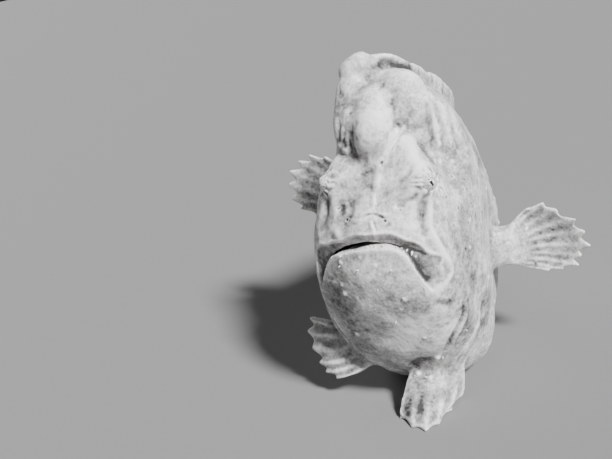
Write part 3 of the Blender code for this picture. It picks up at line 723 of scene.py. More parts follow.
@dataclass
class Recipe:
    """A material in the making."""

    name: str
    made: bpy.types.Material = field(init=False)
    shader: bpy.types.Node = field(init=False)
    place: bpy.types.NodeSocket = field(init=False)

    def __post_init__(self) -> None:
        """Makes the material and its shader."""
        self.made = bpy.data.materials.new(self.name)
        self.made.use_nodes = True
        self.shader = self.made.node_tree.nodes["Principled BSDF"]
        self.place = self.node("ShaderNodeTexCoord").outputs["Object"]

    def feed(self, node: bpy.types.Node, socket: Union[str, int], value: object) -> None:
        """Links or sets one input of a node.

        Args:
            node: The node.
            socket: The input's name or number.
            value: A number, or another node's output.
        """
        if isinstance(value, bpy.types.NodeSocket):
            self.made.node_tree.links.new(value, node.inputs[socket])
        else:
            node.inputs[socket].default_value = value

    def node(self, kind: str, **inputs: object) -> bpy.types.Node:
        """Adds a node.

        Args:
            kind: Blender's name for its kind.
            inputs: What goes into its inputs.

        Returns:
            The node.
        """
        made = self.made.node_tree.nodes.new(kind)
        for socket, value in inputs.items():
            self.feed(made, socket, value)
        return made

    def noise(self, scale: float, detail: float, warp: float = 0.0) -> bpy.types.NodeSocket:
        """Adds a noise of about 0.3 to 0.7.

        Args:
            scale: How many cells it has to the metre.
            detail: How many finer noises it holds.
            warp: How much it is swirled.

        Returns:
            Its output.
        """
        return self.node(
            "ShaderNodeTexNoise", Vector=self.place, Scale=scale, Detail=detail, Distortion=warp
        ).outputs["Fac"]

    def cells(self, scale: float) -> bpy.types.NodeSocket:
        """Adds the distance field of scattered cells, so many to the metre."""
        return self.node("ShaderNodeTexVoronoi", Vector=self.place, Scale=scale).outputs["Distance"]

    def stored(self, name: str) -> bpy.types.Node:
        """Adds a reading of what the mesh stores at its points.

        Args:
            name: The name under which it is stored.

        Returns:
            The node.
        """
        node = self.node("ShaderNodeAttribute")
        node.attribute_name = name
        return node

    def math(self, operation: str, *values: object) -> bpy.types.NodeSocket:
        """Adds a sum, product or other step of arithmetic.

        Args:
            operation: Blender's name for the step.
            values: What goes into it.

        Returns:
            Its output.
        """
        node = self.node("ShaderNodeMath")
        node.operation = operation
        for k, value in enumerate(values):
            self.feed(node, k, value)
        return node.outputs[0]

    def blend(self, start: float, *terms: Tuple[bpy.types.NodeSocket, float]) -> object:
        """Adds up fields, each times its weight.

        Args:
            start: A number to begin with.
            terms: Fields, each with its weight.

        Returns:
            The sum.
        """
        total: object = start
        for socket, weight in terms:
            total = self.math("MULTIPLY_ADD", socket, weight, total)
        return total

    def squares(self, a: bpy.types.NodeSocket, b: bpy.types.NodeSocket) -> bpy.types.NodeSocket:
        """Adds the sum of two squares."""
        return self.math("MULTIPLY_ADD", b, b, self.math("MULTIPLY", a, a))

    def ramp(self, value: object, *stops: Tuple[float, Tuple[float, float, float]]) -> bpy.types.NodeSocket:
        """Turns a number into a colour through a few stops.

        Args:
            value: The number, from 0 to 1.
            stops: Places, each with its colour.

        Returns:
            The colour.
        """
        node = self.node("ShaderNodeValToRGB", Fac=value)
        elements = node.color_ramp.elements
        while len(elements) < len(stops):
            elements.new(0.5)
        for element, (position, colour) in zip(elements, stops):
            element.position = position
            element.color = (*colour, 1)
        return node.outputs["Color"]

    def bump(self, height: object, distance: float, strength: float) -> None:
        """Roughens the surface."""
        node = self.node("ShaderNodeBump", Height=height, Distance=distance, Strength=strength)
        self.feed(self.shader, "Normal", node.outputs["Normal"])


@dataclass(frozen=True)
class SkinFinish:
    """Pale, soft, satin skin with clouds, mottling, dark freckles, pores and fine wrinkles.

    Each pattern has its strength and how many of its cells go to the metre.
    """

    name: str
    tone: float = 0.58
    dark: Tuple[float, float, float] = (0.055, 0.054, 0.053)
    middle: Tuple[float, float, float] = (0.36, 0.357, 0.352)
    pale: Tuple[float, float, float] = (0.88, 0.875, 0.865)
    cloud: float = 0.90
    cloud_cells: float = 75
    mottle: float = 0.90
    mottle_cells: float = 260
    grain: float = 0.80
    grain_cells: float = 900
    pebble: float = 0.10
    pebble_cells: float = 520
    freckle: float = -0.16
    freckle_cells: float = 190
    freckle_size: float = 0.36
    freckle_ragged: float = 0.55
    tone_shift: float = -0.04
    # The stored shade holds the skin's markings and also painted shade and painted highlights.
    stain: float = 0.55  # how strongly the shade that the mesh stores shows
    wrinkle_cells: float = 1500
    wrinkle_height: float = 0.35 * MM
    wrinkle_strength: float = 0.55
    roughness: float = 0.50
    uneven_gloss: float = 0.3
    specular: float = 0.45
    softness: float = 0.10
    soft_depth: float = 1.5 * MM

    def material(self) -> bpy.types.Material:
        """Makes the material.

        Returns:
            The material.
        """
        recipe = Recipe(self.name)
        cloud = recipe.noise(self.cloud_cells, 4, 0.5)
        mottle = recipe.noise(self.mottle_cells, 4, 0.3)
        grain = recipe.noise(self.grain_cells, 3)
        pebbles = recipe.cells(self.pebble_cells)
        around_freckle = recipe.cells(self.freckle_cells)
        ragged = recipe.blend(0.0, (around_freckle, 1.0), (mottle, self.freckle_ragged))
        freckles = recipe.math("LESS_THAN", ragged, self.freckle_size)
        tone = recipe.blend(
            self.tone - 0.5 * (self.cloud + self.mottle + self.grain) + self.tone_shift,
            (cloud, self.cloud), (mottle, self.mottle), (grain, self.grain), (pebbles, self.pebble),
            (freckles, self.freckle), (recipe.stored("shade").outputs["Fac"], self.stain),
        )
        colour = recipe.ramp(tone, (0.0, self.dark), (0.42, self.middle), (0.95, self.pale))
        recipe.feed(recipe.shader, "Base Color", colour)
        wrinkles = recipe.noise(self.wrinkle_cells, 3)
        height = recipe.blend(0.0, (wrinkles, 0.5), (pebbles, 0.5), (grain, 0.6))
        recipe.bump(height, self.wrinkle_height, self.wrinkle_strength)
        gloss = recipe.blend(self.roughness - 0.5 * self.uneven_gloss, (mottle, self.uneven_gloss))
        recipe.feed(recipe.shader, "Roughness", gloss)
        recipe.shader.inputs["Subsurface Weight"].default_value = self.softness
        recipe.shader.inputs["Subsurface Radius"].default_value = (1.0, 1.0, 1.0)
        recipe.shader.inputs["Subsurface Scale"].default_value = self.soft_depth
        recipe.shader.inputs["Specular IOR Level"].default_value = self.specular
        return recipe.made


@dataclass(frozen=True)
class EyeFinish:
    """A wet eye with a pale, spoked iris and a small upright pupil."""

    name: str = "frogfish_eye"
    pupil_colour: Tuple[float, float, float] = (0.012, 0.012, 0.012)
    iris_colour: Tuple[float, float, float] = (0.30, 0.298, 0.294)
    pale_colour: Tuple[float, float, float] = (0.78, 0.775, 0.765)
    spokes: float = 13.0
    spoke_swirl: float = 9.0
    pupil_half_width: float = 0.14
    pupil_half_height: float = 0.38
    pupil_lean: float = 0.35
    iris_edge: float = 0.93
    ragged_cells: float = 700
    blot_cells: float = 1100
    blot_size: float = 0.40
    pupil_ragged: float = 1.2
    pupil_edge: float = 1.5
    tone: float = 0.62
    spoke: float = 0.20
    cloud: float = 0.45
    rim: float = -0.10
    blot: float = -0.45
    roughness: float = 0.25
    coat: float = 1.0
    coat_roughness: float = 0.04

    def material(self) -> bpy.types.Material:
        """Makes the material, which reads each point's place as seen along the eye's gaze.

        Returns:
            The material.
        """
        recipe = Recipe(self.name)
        split = recipe.node("ShaderNodeSeparateXYZ", Vector=recipe.stored("gaze").outputs["Vector"])
        side, up = split.outputs["X"], split.outputs["Y"]
        ragged = recipe.noise(self.ragged_cells, 3)
        from_axis = recipe.math("SQRT", recipe.squares(side, up))
        angle = recipe.math("ARCTAN2", up, side)
        spoke = recipe.math("SINE", recipe.blend(0.0, (angle, self.spokes), (ragged, self.spoke_swirl)))
        leaning = recipe.blend(0.0, (side, 1.0), (up, self.pupil_lean))
        wide = recipe.math("DIVIDE", leaning, self.pupil_half_width)
        tall = recipe.math("DIVIDE", up, self.pupil_half_height)
        pupil = recipe.math("MULTIPLY_ADD", ragged, self.pupil_ragged, recipe.squares(wide, tall))
        outside = recipe.math("GREATER_THAN", pupil, self.pupil_edge)
        rim = recipe.math("GREATER_THAN", from_axis, self.iris_edge)
        blots = recipe.math("LESS_THAN", recipe.noise(self.blot_cells, 2, 0.5), self.blot_size)
        tone = recipe.blend(
            self.tone, (spoke, self.spoke), (ragged, self.cloud), (rim, self.rim), (blots, self.blot)
        )
        tone = recipe.math("MULTIPLY", tone, outside)
        stops = ((0.0, self.pupil_colour), (0.45, self.iris_colour), (0.9, self.pale_colour))
        recipe.feed(recipe.shader, "Base Color", recipe.ramp(tone, *stops))
        recipe.shader.inputs["Roughness"].default_value = self.roughness
        recipe.shader.inputs["Coat Weight"].default_value = self.coat
        recipe.shader.inputs["Coat Roughness"].default_value = self.coat_roughness
        return recipe.made


@dataclass(frozen=True)
class PaperFinish:
    """Pale matt paper with a faint tooth, for the floor."""

    name: str = "floor_paper"
    colour: Tuple[float, float, float] = (0.20, 0.20, 0.20)
    tooth_cells: float = 300
    tooth: float = 1.02  # how much lighter its pale spots are
    roughness: float = 0.9

    def material(self) -> bpy.types.Material:
        """Makes the material.

        Returns:
            The material.
        """
        recipe = Recipe(self.name)
        light = tuple(c * self.tooth for c in self.colour)
        tooth = recipe.ramp(recipe.noise(self.tooth_cells, 2), (0.3, self.colour), (0.7, light))
        recipe.feed(recipe.shader, "Base Color", tooth)
        recipe.shader.inputs["Roughness"].default_value = self.roughness
        return recipe.made


# Pieces

STRAIGHT: Line = ((0, -0.008, 0), (0, -0.008, 0))
PECTORAL_BOW: Line = ((0, 0.01, -0.004), (0, 0.018, 0.0), (0, 0.01, 0.004))


@dataclass
class Relief:
    """The working state of a skin: where its points go, and how pale or dark they are stained."""

    skin: bpy.types.Object
    uneven: float = 0.6  # how unevenly a mark shows along its line
    end_share: float = 0.3  # how much of a mark is left at the ends of its line
    end_length: float = 0.25
    lap: float = 1.5  # how steep a fold is that laps
    rim_rise: float = 0.35  # how high the rim of a pore stands, in depths of the pore
    rim_width: float = 0.5  # in radii of the pore, as is the next
    hole_width: float = 0.62
    rim_stain: float = 0.2
    points: Array = field(init=False)
    normals: Array = field(init=False)
    moved: Array = field(init=False)
    shade: Array = field(init=False)

    def __post_init__(self) -> None:
        """Reads the skin."""
        self.points = points_of(self.skin)
        self.normals = normals_of(self.skin)
        self.moved = self.points.copy()
        self.shade = np.zeros(len(self.points))

    def near(self, line: Array, reach: float) -> Array:
        """Finds the skin's points around a line."""
        return np.flatnonzero(in_box_of(self.points, line, reach))

    def draw(self, line: Array, mark: "Mark", turn: int = 1) -> None:
        """Draws a mark along a line on the skin.

        Args:
            line: World points.
            mark: What it does to the skin.
            turn: 1, or -1 for the mirrored line of a fold that laps.
        """
        reach = mark.reach * MM
        at = self.near(line, 3 * reach) if len(line) else []
        if not len(at):
            return
        points, normals = self.points[at], self.normals[at]
        distance, place, offset = along_line(points, line)
        bump = bell(distance / reach)
        if len(line) > 1:
            inner = smooth_step(place / self.end_length) * smooth_step((1 - place) / self.end_length)
            bump *= self.end_share + (1 - self.end_share) * inner
        bump *= 1 + self.uneven * value_noise(points, 2.5 * reach, 7)
        lift = bump.copy()
        if mark.stroke is Stroke.LAP:
            ways = np.gradient(line, axis=0)
            way = ways[np.round(place * (len(line) - 1)).astype(int)]
            beside = np.cross(normals, units(way))
            lift *= np.clip(turn * (beside * offset).sum(1) / reach, -self.lap, self.lap) * self.lap
        self.moved[at] += normals * (mark.rise * MM * lift)[:, None]
        self.shade[at] += mark.shade * bump

    def pore(self, centre: Array, radius: float, sunk: float = 1.3, stain: float = -0.5) -> None:
        """Sinks a rimmed pore into the skin.

        Args:
            centre: Its place.
            radius: Its radius.
            sunk: Its depth, in radii.
            stain: How dark its floor is painted: painted shade in a hole, or the dark centre of a ring spot.
        """
        at = self.near(centre[None], 3 * radius)
        away = np.linalg.norm(self.points[at] - centre, axis=1)
        rim = bell((away - radius) / (self.rim_width * radius))
        hole = bell(away / (self.hole_width * radius))
        self.moved[at] += self.normals[at] * (radius * sunk * (self.rim_rise * rim - hole))[:, None]
        # The floor gets painted shade in a pore, or a ring spot's dark centre.
        self.shade[at] += self.rim_stain * rim + stain * hole

    def roughen(self, scale: float, rise: float, seed: int) -> None:
        """Adds small swellings all over the skin."""
        self.moved += self.normals * (rise * value_noise(self.points, scale, seed))[:, None]

    def set(self) -> None:
        """Moves the skin's points."""
        set_points(self.skin, self.moved)


@dataclass
class Mouth:
    """The wide, down-turned mouth: its line seen from the front, its slanted upper lip and its plates.

    The knots of each line run from the fish's right corner to its left one, in body lengths.
    """

    line: Tuple[Tuple[float, float], ...] = (
        (-0.149, 0.372), (-0.126, 0.430), (-0.100, 0.464), (-0.060, 0.484), (-0.010, 0.498), (0.036, 0.501),
        (0.068, 0.495), (0.093, 0.476), (0.112, 0.434), (0.135, 0.388),
    )
    opening: Tuple[float, ...] = (
        0.0006, 0.0008, 0.0045, 0.0102, 0.0095, 0.0062, 0.0042, 0.0030, 0.0020, 0.0010,
    )
    lip_height: Tuple[float, ...] = (0.012, 0.044, 0.036, 0.026, 0.028, 0.030, 0.027, 0.036, 0.052, 0.046)
    lip_slant: Tuple[float, ...] = (0.002, 0.012, 0.018, 0.023, 0.025, 0.025, 0.022, 0.017, 0.015, 0.010)
    upper_edge: float = 0.0020
    ragged: float = 0.30  # how unevenly high the upper lip is
    ragged_size: float = 0.030
    lower_edge: Tuple[float, ...] = (0.0, 0.0, 0.0014, 0.0026, 0.0026, 0.0024, 0.0020, 0.0010, 0.0, 0.0)
    edge_width: float = 0.006
    lower_drop: float = 0.006  # how far below its line the lower lip's edge runs
    lower_width: float = 0.010
    pale_drop: float = 0.003  # how far below its line the pale edge runs
    pale_width: float = 0.005
    cut_front: float = -0.2
    cut_depth: float = 0.080
    cut_taper: float = 0.5
    cut_rows: int = 90
    rows: int = 100
    skin_depth: float = 0.050  # how deep behind its line the shaping ends
    skin_fade: float = 0.030
    inside_depth: float = 0.040  # how deep behind its line the dark inside begins
    inside_fade: float = 0.026
    inside_half: float = 0.022
    reach: float = 0.07  # how far from its line the mouth shapes the skin
    end_fade: float = 0.014  # how far past its corners the lips reach
    corner: float = 0.05  # the share of its line over which the lips' edges fade out at each corner
    # Painted shade on the upper lip's downward slant and inside the opening, and paler lip edges.
    band_painted_shade: float = -0.95
    edge_stain: float = 0.22
    inside_painted_shade: float = -0.9

    def across(self, line: Array) -> Array:
        """Finds the direction across a line seen from the front, at each of its points."""
        along = np.gradient(line, axis=0)
        return units(np.stack([-along[:, 1], along[:, 0]], 1))

    def cutter(self) -> bpy.types.Object:
        """Makes the thin curved wedge that opens the mouth.

        Returns:
            Its object, in world metres.
        """
        t = np.linspace(0, 1, self.cut_rows)
        middle = smooth_line(self.line, t)
        points, faces = [], []
        for place, way, half in zip(middle, self.across(middle), smooth_values(self.opening, t)):
            for depth, share in ((self.cut_front, 1.0), (self.cut_depth, self.cut_taper)):
                for sign in (1, -1):
                    side, height = place + way * half * share * sign
                    points.append((side, depth, height))
        for k in range(len(middle) - 1):
            a, b = 4 * k, 4 * k + 4
            faces += [(a, a + 1, b + 1, b), (a + 2, b + 2, b + 3, a + 3)]
            faces += [(a, b, b + 2, a + 2), (a + 1, a + 3, b + 3, b + 1)]
        last = 4 * (len(middle) - 1)
        faces += [(0, 2, 3, 1), (last, last + 1, last + 3, last + 2)]
        return mesh_object("mouth_cutter", placed(np.array(points)), faces)

    def shape(self, relief: Relief, tree: BVHTree) -> None:
        """Slants the upper lip and the plates in to the mouth, and raises the edges of both lips.

        Args:
            relief: The skin.
            tree: The plain face.
        """
        line, out = from_front(tree, self.line, np.linspace(0, 1, self.rows))
        way = units(np.gradient(line, axis=0))
        up = units(np.cross(out, way))
        at = relief.near(line, self.reach * LENGTH)
        _, place, offset = along_line(relief.points[at], line)
        index = np.round(place * (len(line) - 1)).astype(int)
        above = (offset * up[index]).sum(1) / LENGTH
        proud = (offset * out[index]).sum(1) / LENGTH
        past = np.abs((offset * way[index]).sum(1)) / LENGTH
        inside_ends = smooth_step(1 - past / self.end_fade)
        uneven = self.ragged * value_noise(relief.points[at], self.ragged_size * LENGTH, 31)
        height = smooth_values(self.lip_height, place) * (1 + uneven)
        slope = np.where(above > 0, np.clip(1 - above / height, 0, 1), 0.0)
        ends = smooth_step(np.minimum(place, 1 - place) / self.corner) * inside_ends
        rise = -smooth_values(self.lip_slant, place) * slope * inside_ends
        upper_rim = bell((above - height) / self.edge_width)
        rise += self.upper_edge * ends * upper_rim
        lower_rim = bell((above + self.lower_drop) / self.lower_width)
        rise += smooth_values(self.lower_edge, place) * inside_ends * lower_rim
        at_surface = smooth_step((proud + self.skin_depth) / self.skin_fade)
        relief.moved[at] += out[index] * (rise * at_surface * LENGTH)[:, None]
        # Paints shade inside the opening and on the upper lip's slant, and pales the lips' edges.
        inside = 1 - smooth_step((proud + self.inside_depth) / self.inside_fade)
        inside *= smooth_step((self.inside_half - np.abs(above)) / self.edge_width)
        rim = bell((above + self.pale_drop) / self.pale_width) + 0.5 * upper_rim
        relief.shade[at] += self.band_painted_shade * np.sqrt(slope) * ends
        relief.shade[at] += self.edge_stain * rim * ends * at_surface + self.inside_painted_shade * inside


class Stroke(Enum):
    """How a mark moves the skin across its line."""

    ROUND = "round"
    LAP = "lap"


@dataclass(frozen=True)
class Mark:
    """A ridge, groove, bump or stain on the skin, laid along pixels of the picture.

    Reach and rise are in millimetres, shade is how much paler or darker it is, and both says whether the
    fish has it on its other side too. In grooves, creases, pits and hollows a darker shade is painted shade,
    and on the ridges so noted below a paler shade is a painted highlight; spots, streaks and rings are the
    skin's own markings.
    """

    line: Tuple[Pixel, ...]
    reach: float
    rise: float
    shade: float = 0.0
    both: bool = False
    stroke: Stroke = Stroke.ROUND


MARKS: Dict[str, Mark] = {
    # Its paler shade is a painted highlight along the ridge.
    "cheek ridge": Mark(
        ((435, 191), (430, 205), (429, 225), (436, 241), (446, 257), (451, 270), (447, 282), (438, 293)),
        1.5, 1.0, 0.48,
    ),
    # Painted shade in the hollow inside the cheek ridge.
    "hollow inside the cheek ridge": Mark(
        ((424, 196), (422, 212), (424, 228), (430, 241)),
        2.4, -0.9, -0.12, True,
    ),
    # Painted highlight on the brow ridge and painted shade in the brow hollow.
    "brow ridge": Mark(((398, 132), (405, 145), (416, 161), (428, 175)), 3.0, 0.5, 0.38),
    "brow hollow": Mark(((414, 133), (426, 152), (437, 165)), 2.4, -0.6, -0.15),
    "fold from the bulb": Mark(((399, 126), (391, 140), (384, 160)), 1.7, 0.5, 0.50),
    "dark spot by the bait": Mark(((397, 123), (400, 126)), 0.7, -0.7, -0.9),
    "dark spot at the bulb's foot": Mark(((382, 163),), 0.7, -0.7, -0.9),
    "spot on the crown": Mark(((394, 109),), 0.45, -0.3, -0.9),
    "smudge on the crown": Mark(((380, 88), (385, 82)), 0.9, -0.2, -0.6),
    # Painted shade in the snout crease.
    "snout crease": Mark(((362, 217), (371, 214), (383, 217), (391, 227)), 0.5, -0.3, -0.4),
    "white line of the snout": Mark(((371, 222), (373, 230), (375, 239)), 0.6, 0.5, 1.0),
    "white dash": Mark(((374, 197), (374, 207)), 0.8, 0.6, 0.9),
    "lip corner lump": Mark(((337, 234),), 2.2, 1.0, 0.5),
    "right cheek lumps": Mark(((341, 203), (345, 216)), 1.7, -0.6, -0.22),
    # Painted shade in the right cheek groove.
    "right cheek groove": Mark(((350, 200), (352, 212), (348, 222)), 1.5, -0.5, -0.2),
    # Painted shade in the throat crease.
    "throat crease": Mark(((430, 300), (444, 303), (456, 303)), 2.0, -0.5, -0.35),
    "throat speckles": Mark(((412, 297), (430, 298), (452, 298)), 1.6, 0.2, -0.2, True),
    "grey flank": Mark(((458, 150), (466, 190), (470, 235), (466, 280)), 8.0, 0.0, -0.26, True),
    # Painted shade in the cheek's hollow.
    "grey cheek": Mark(((448, 208), (455, 235), (463, 262)), 3.5, -0.4, -0.15, True),
    # Painted highlight on the top of the bulb.
    "painted highlight on the bulb": Mark(((370, 110), (372, 126)), 4.2, 0.0, 0.70),
    # Painted light on the bulb's shaded foot, with a low swelling that fills the crease.
    "painted light on the bulb's foot": Mark(((366, 159), (375, 161), (385, 155)), 2.2, 0.7, 0.35),
    # Painted shade in the hollow between the eyes.
    "painted shade between the eyes": Mark(((364, 168), (367, 181), (370, 190)), 2.8, -0.35, -0.34),
    # Painted shade in the crease left of the bulb.
    "painted shade left of the bulb": Mark(((353, 128), (353, 142), (357, 156)), 0.8, -0.3, -0.25),
    # Painted highlight on the snout.
    "painted highlight on the snout": Mark(((385, 200), (400, 212), (412, 225)), 5.0, 0.0, 0.35),
    "bright belly": Mark(((398, 318), (410, 334), (392, 348)), 6.5, 0.0, 0.80),
    # Painted shade along the gill folds.
    "gill fold": Mark(
        ((464, 302), (465, 313), (460, 326), (452, 340), (447, 350)),
        1.4, 1.1, -0.3, True, Stroke.LAP,
    ),
    "outer gill fold": Mark(
        ((481, 306), (478, 322), (468, 343), (455, 362)),
        1.8, -1.7, -0.3, True, Stroke.LAP,
    ),
    # Painted shade in the pit over the belly fin.
    "pit over the belly fin": Mark(((410, 368), (419, 363), (428, 361), (438, 362)), 3.2, -2.2, -0.7),
    "nodule over the belly fin": Mark(((437, 358),), 1.3, 1.4, 0.4),
    "second nodule": Mark(((418, 374),), 1.0, 0.9, 0.4),
    "third nodule": Mark(((430, 378),), 1.0, 0.9, 0.4),
    # The grooves among the right brow's folds carry painted shade.
    "first right fold": Mark(((351, 130), (350, 140), (353, 154)), 0.9, -0.4, -0.25),
    "second right fold": Mark(((343, 126), (342, 136), (344, 146)), 1.2, 0.5, 0.15),
    "third right fold": Mark(((346, 132), (344, 141), (347, 150)), 0.9, -0.25, -0.25),
    "fourth right fold": Mark(((338, 116), (340, 126), (340, 140), (338, 150)), 1.3, -0.3, -0.30),
    "fold under the knob": Mark(((336, 88), (339, 94), (343, 98)), 1.6, -0.5, -0.30),
    # Painted shade in the hollow under the web's rim, with a shallow sinking.
    "painted shade in the hollow before the rim": Mark(
        ((372, 67), (384, 64), (397, 64), (409, 67), (419, 72)),
        2.0, -1.0, -0.60,
    ),
    # Its paler shade is a painted highlight along the web's rim.
    "rim of the web": Mark(((368, 55), (384, 56), (400, 57), (414, 61), (427, 67)), 0.9, 0.5, 0.5),
    "first flank streak": Mark(((424, 88), (427, 112), (432, 140), (436, 158)), 1.8, -0.25, -0.26),
    "second flank streak": Mark(((437, 100), (441, 122), (446, 148)), 1.8, -0.25, -0.26),
    "third flank streak": Mark(((449, 112), (453, 132), (458, 152)), 1.8, -0.2, -0.22),
    "pale flank streak": Mark(((429, 88), (434, 118), (440, 150)), 1.0, 0.4, 0.35),
    # Painted shade in the cheek creases.
    "first cheek crease": Mark(((404, 132), (408, 120), (416, 108)), 1.5, -0.3, -0.18),
    "second cheek crease": Mark(((412, 168), (405, 178), (396, 183)), 1.2, -0.5, -0.18),
    "third cheek crease": Mark(((420, 190), (412, 198), (400, 203)), 1.2, -0.5, -0.15),
    "dark back edge": Mark(((468, 135), (475, 150), (483, 168)), 3.0, 0.0, -0.55),
    "pale back edge": Mark(((463, 120), (477, 141), (488, 168), (493, 187)), 0.9, 0.3, 0.5),
    "right cheek edge": Mark(((333, 196), (335, 210), (334, 224)), 1.6, 0.5, 0.05),
    # Painted shade in the right cheek hollow.
    "right cheek hollow": Mark(((326, 196), (325, 215), (324, 236)), 2.4, -0.9, -0.30),
    # Painted highlight along the nose ridge.
    "nose ridge": Mark(((382, 162), (378, 176), (375, 192)), 1.6, 0.7, 0.35),
    # Painted shade on the right brow, which faces away from the key light.
    "painted shade on the right brow": Mark(((342, 126), (344, 150)), 4.2, 0.0, -0.70),
    # Painted shade at the end of the snout crease and along the slit's thin end.
    "snout crease's dark end": Mark(((376, 215), (384, 218)), 0.45, -0.3, -0.5),
    "slit's thin end": Mark(((406, 249), (417, 252), (427, 255)), 0.7, -0.3, -0.35),
    "right brow lump": Mark(((346, 150),), 1.6, 0.9, 0.2),
    "second right brow lump": Mark(((340, 145),), 1.2, 0.7, 0.1),
    "third right brow lump": Mark(((348, 116), (344, 110)), 2.0, 0.5, 0.1),
    # Painted shade on the gill and the low side, on both sides of the fish.
    "painted shade on the gill": Mark(((466, 300), (470, 320), (462, 340)), 4.5, 0.0, -0.75, True),
    "painted shade on the low side": Mark(((484, 290), (486, 312), (478, 335)), 4.5, 0.0, -0.75, True),
    # Painted shade on the right cheek, which faces away from the key light.
    "painted shade on the right cheek": Mark(((344, 203), (350, 222)), 4.5, 0.0, -0.32),
    "grey low flank": Mark(((474, 262), (478, 285)), 5.5, 0.0, -0.26, True),
    "grey temple": Mark(((436, 125), (442, 150), (446, 168)), 4.0, 0.0, -0.20, True),
    "grey throat": Mark(((385, 296), (410, 306), (440, 308)), 4.0, 0.0, -0.50),
    # Painted shade on the belly fin.
    "painted shade on the belly fin": Mark(((402, 385), (420, 396), (430, 412)), 9.0, 0.0, -1.15),
    "grey chin": Mark(((372, 275), (380, 292)), 5.0, 0.0, -0.20),
    # Painted shade on the crown's right, which faces away from the key light.
    "painted shade on the crown's right": Mark(((338, 104), (345, 116)), 3.0, 0.0, -0.30),
    "dark spot between the eyes": Mark(((370, 186), (372, 190)), 1.0, -0.4, -0.5),
    # Painted shade in the hollow under the web's rim, on either side.
    "painted shade left in the rim's hollow": Mark(((369, 68), (377, 66), (385, 65)), 2.0, -0.3, -0.45),
    "painted shade right in the rim's hollow": Mark(((396, 66), (404, 67), (413, 70)), 2.0, -0.3, -0.45),
    # Painted shade on the right snout and the right eye mound, away from the key light.
    "painted shade on the right snout": Mark(((350, 214), (352, 228)), 3.4, 0.0, -0.50),
    "painted shade on the right mound": Mark(((330, 182), (340, 184)), 2.6, 0.0, -0.25),
    "chin shadow line": Mark(((332, 266), (336, 292), (346, 318), (362, 346)), 8.0, 0.0, -0.85),
    "throat stain": Mark(((365, 292), (392, 300), (414, 303)), 3.6, 0.0, -0.22),
}


PECTORAL_FANS: Dict[str, Fan] = {
    "pectoral_fin_left": Fan(
        ((0.205, 0.422, 0.268), (0.212, 0.428, 0.317), (0.205, 0.422, 0.366)),
        ((0.300, 0.450, 0.238), (0.352, 0.455, 0.246), (0.392, 0.455, 0.272), (0.416, 0.450, 0.312),
         (0.405, 0.450, 0.362), (0.362, 0.450, 0.402), (0.310, 0.445, 0.433), (0.258, 0.440, 0.420)),
        PECTORAL_BOW, rays=10, web=(0.062, 0.0060), ray=(0.074, 0.0082), notch=0.10, taper=4.0,
        rows=56, steps=10, uneven=0.060, seed=4, bare=0.12,
    ),
    "pectoral_fin_right": Fan(
        ((-0.202, 0.422, 0.362), (-0.208, 0.428, 0.410), (-0.202, 0.422, 0.458)),
        ((-0.325, 0.450, 0.368), (-0.395, 0.455, 0.385), (-0.436, 0.455, 0.412), (-0.446, 0.450, 0.470),
         (-0.425, 0.450, 0.520), (-0.380, 0.450, 0.556), (-0.330, 0.445, 0.572), (-0.275, 0.440, 0.555)),
        PECTORAL_BOW, rays=10, web=(0.062, 0.0060), ray=(0.074, 0.0082), notch=0.10, taper=4.0,
        rows=56, steps=10, uneven=0.060, seed=9, bare=0.12,
    ),
}
PELVIC_FANS: Dict[str, Fan] = {
    "pelvic_fin_left": Fan(
        ((0.020, 0.150, 0.120), (0.075, 0.165, 0.125), (0.130, 0.190, 0.140)),
        ((0.006, 0.030, 0.006), (0.062, -0.008, 0.006), (0.105, 0.002, 0.006), (0.122, 0.075, 0.006),
         (0.128, 0.155, 0.006)),
        ((0, -0.03, -0.035), (0, -0.025, -0.040), (0, -0.01, -0.035)),
        rays=6, web=(0.074, 0.0080), ray=(0.086, 0.0138), notch=0.13, taper=1.5,
        rows=60, steps=16, uneven=0.05, seed=2, bare=0.35,
    ),
    "pelvic_fin_right": Fan(
        ((-0.060, 0.170, 0.100), (-0.095, 0.165, 0.130), (-0.115, 0.170, 0.175)),
        ((-0.190, 0.090, 0.062), (-0.225, 0.095, 0.078), (-0.240, 0.100, 0.112), (-0.268, 0.105, 0.175),
         (-0.252, 0.110, 0.225)),
        ((-0.01, -0.035, -0.010), (-0.01, -0.03, 0.0), (-0.01, -0.02, 0.010)),
        rays=6, web=(0.064, 0.0072), ray=(0.074, 0.0135), notch=0.13, taper=1.5,
        rows=60, steps=14, uneven=0.05, seed=3, bare=0.30,
    ),
}

DORSAL_FAN: Dict[str, Fan] = {
    "dorsal_fin": Fan(
        ((0, 0.440, 0.700), (0, 0.570, 0.610), (0, 0.680, 0.520), (0, 0.800, 0.400), (0, 0.880, 0.325)),
        ((0, 0.465, 0.800), (0, 0.600, 0.742), (0, 0.760, 0.650), (0, 0.900, 0.540), (0, 1.000, 0.430)),
        STRAIGHT, rays=13, web=(0.060, 0.0062), ray=(0.064, 0.0080), notch=0.0, rim=0.002,
        rows=60, uneven=0.012, seed=5, bare=0.10,
    ),
}


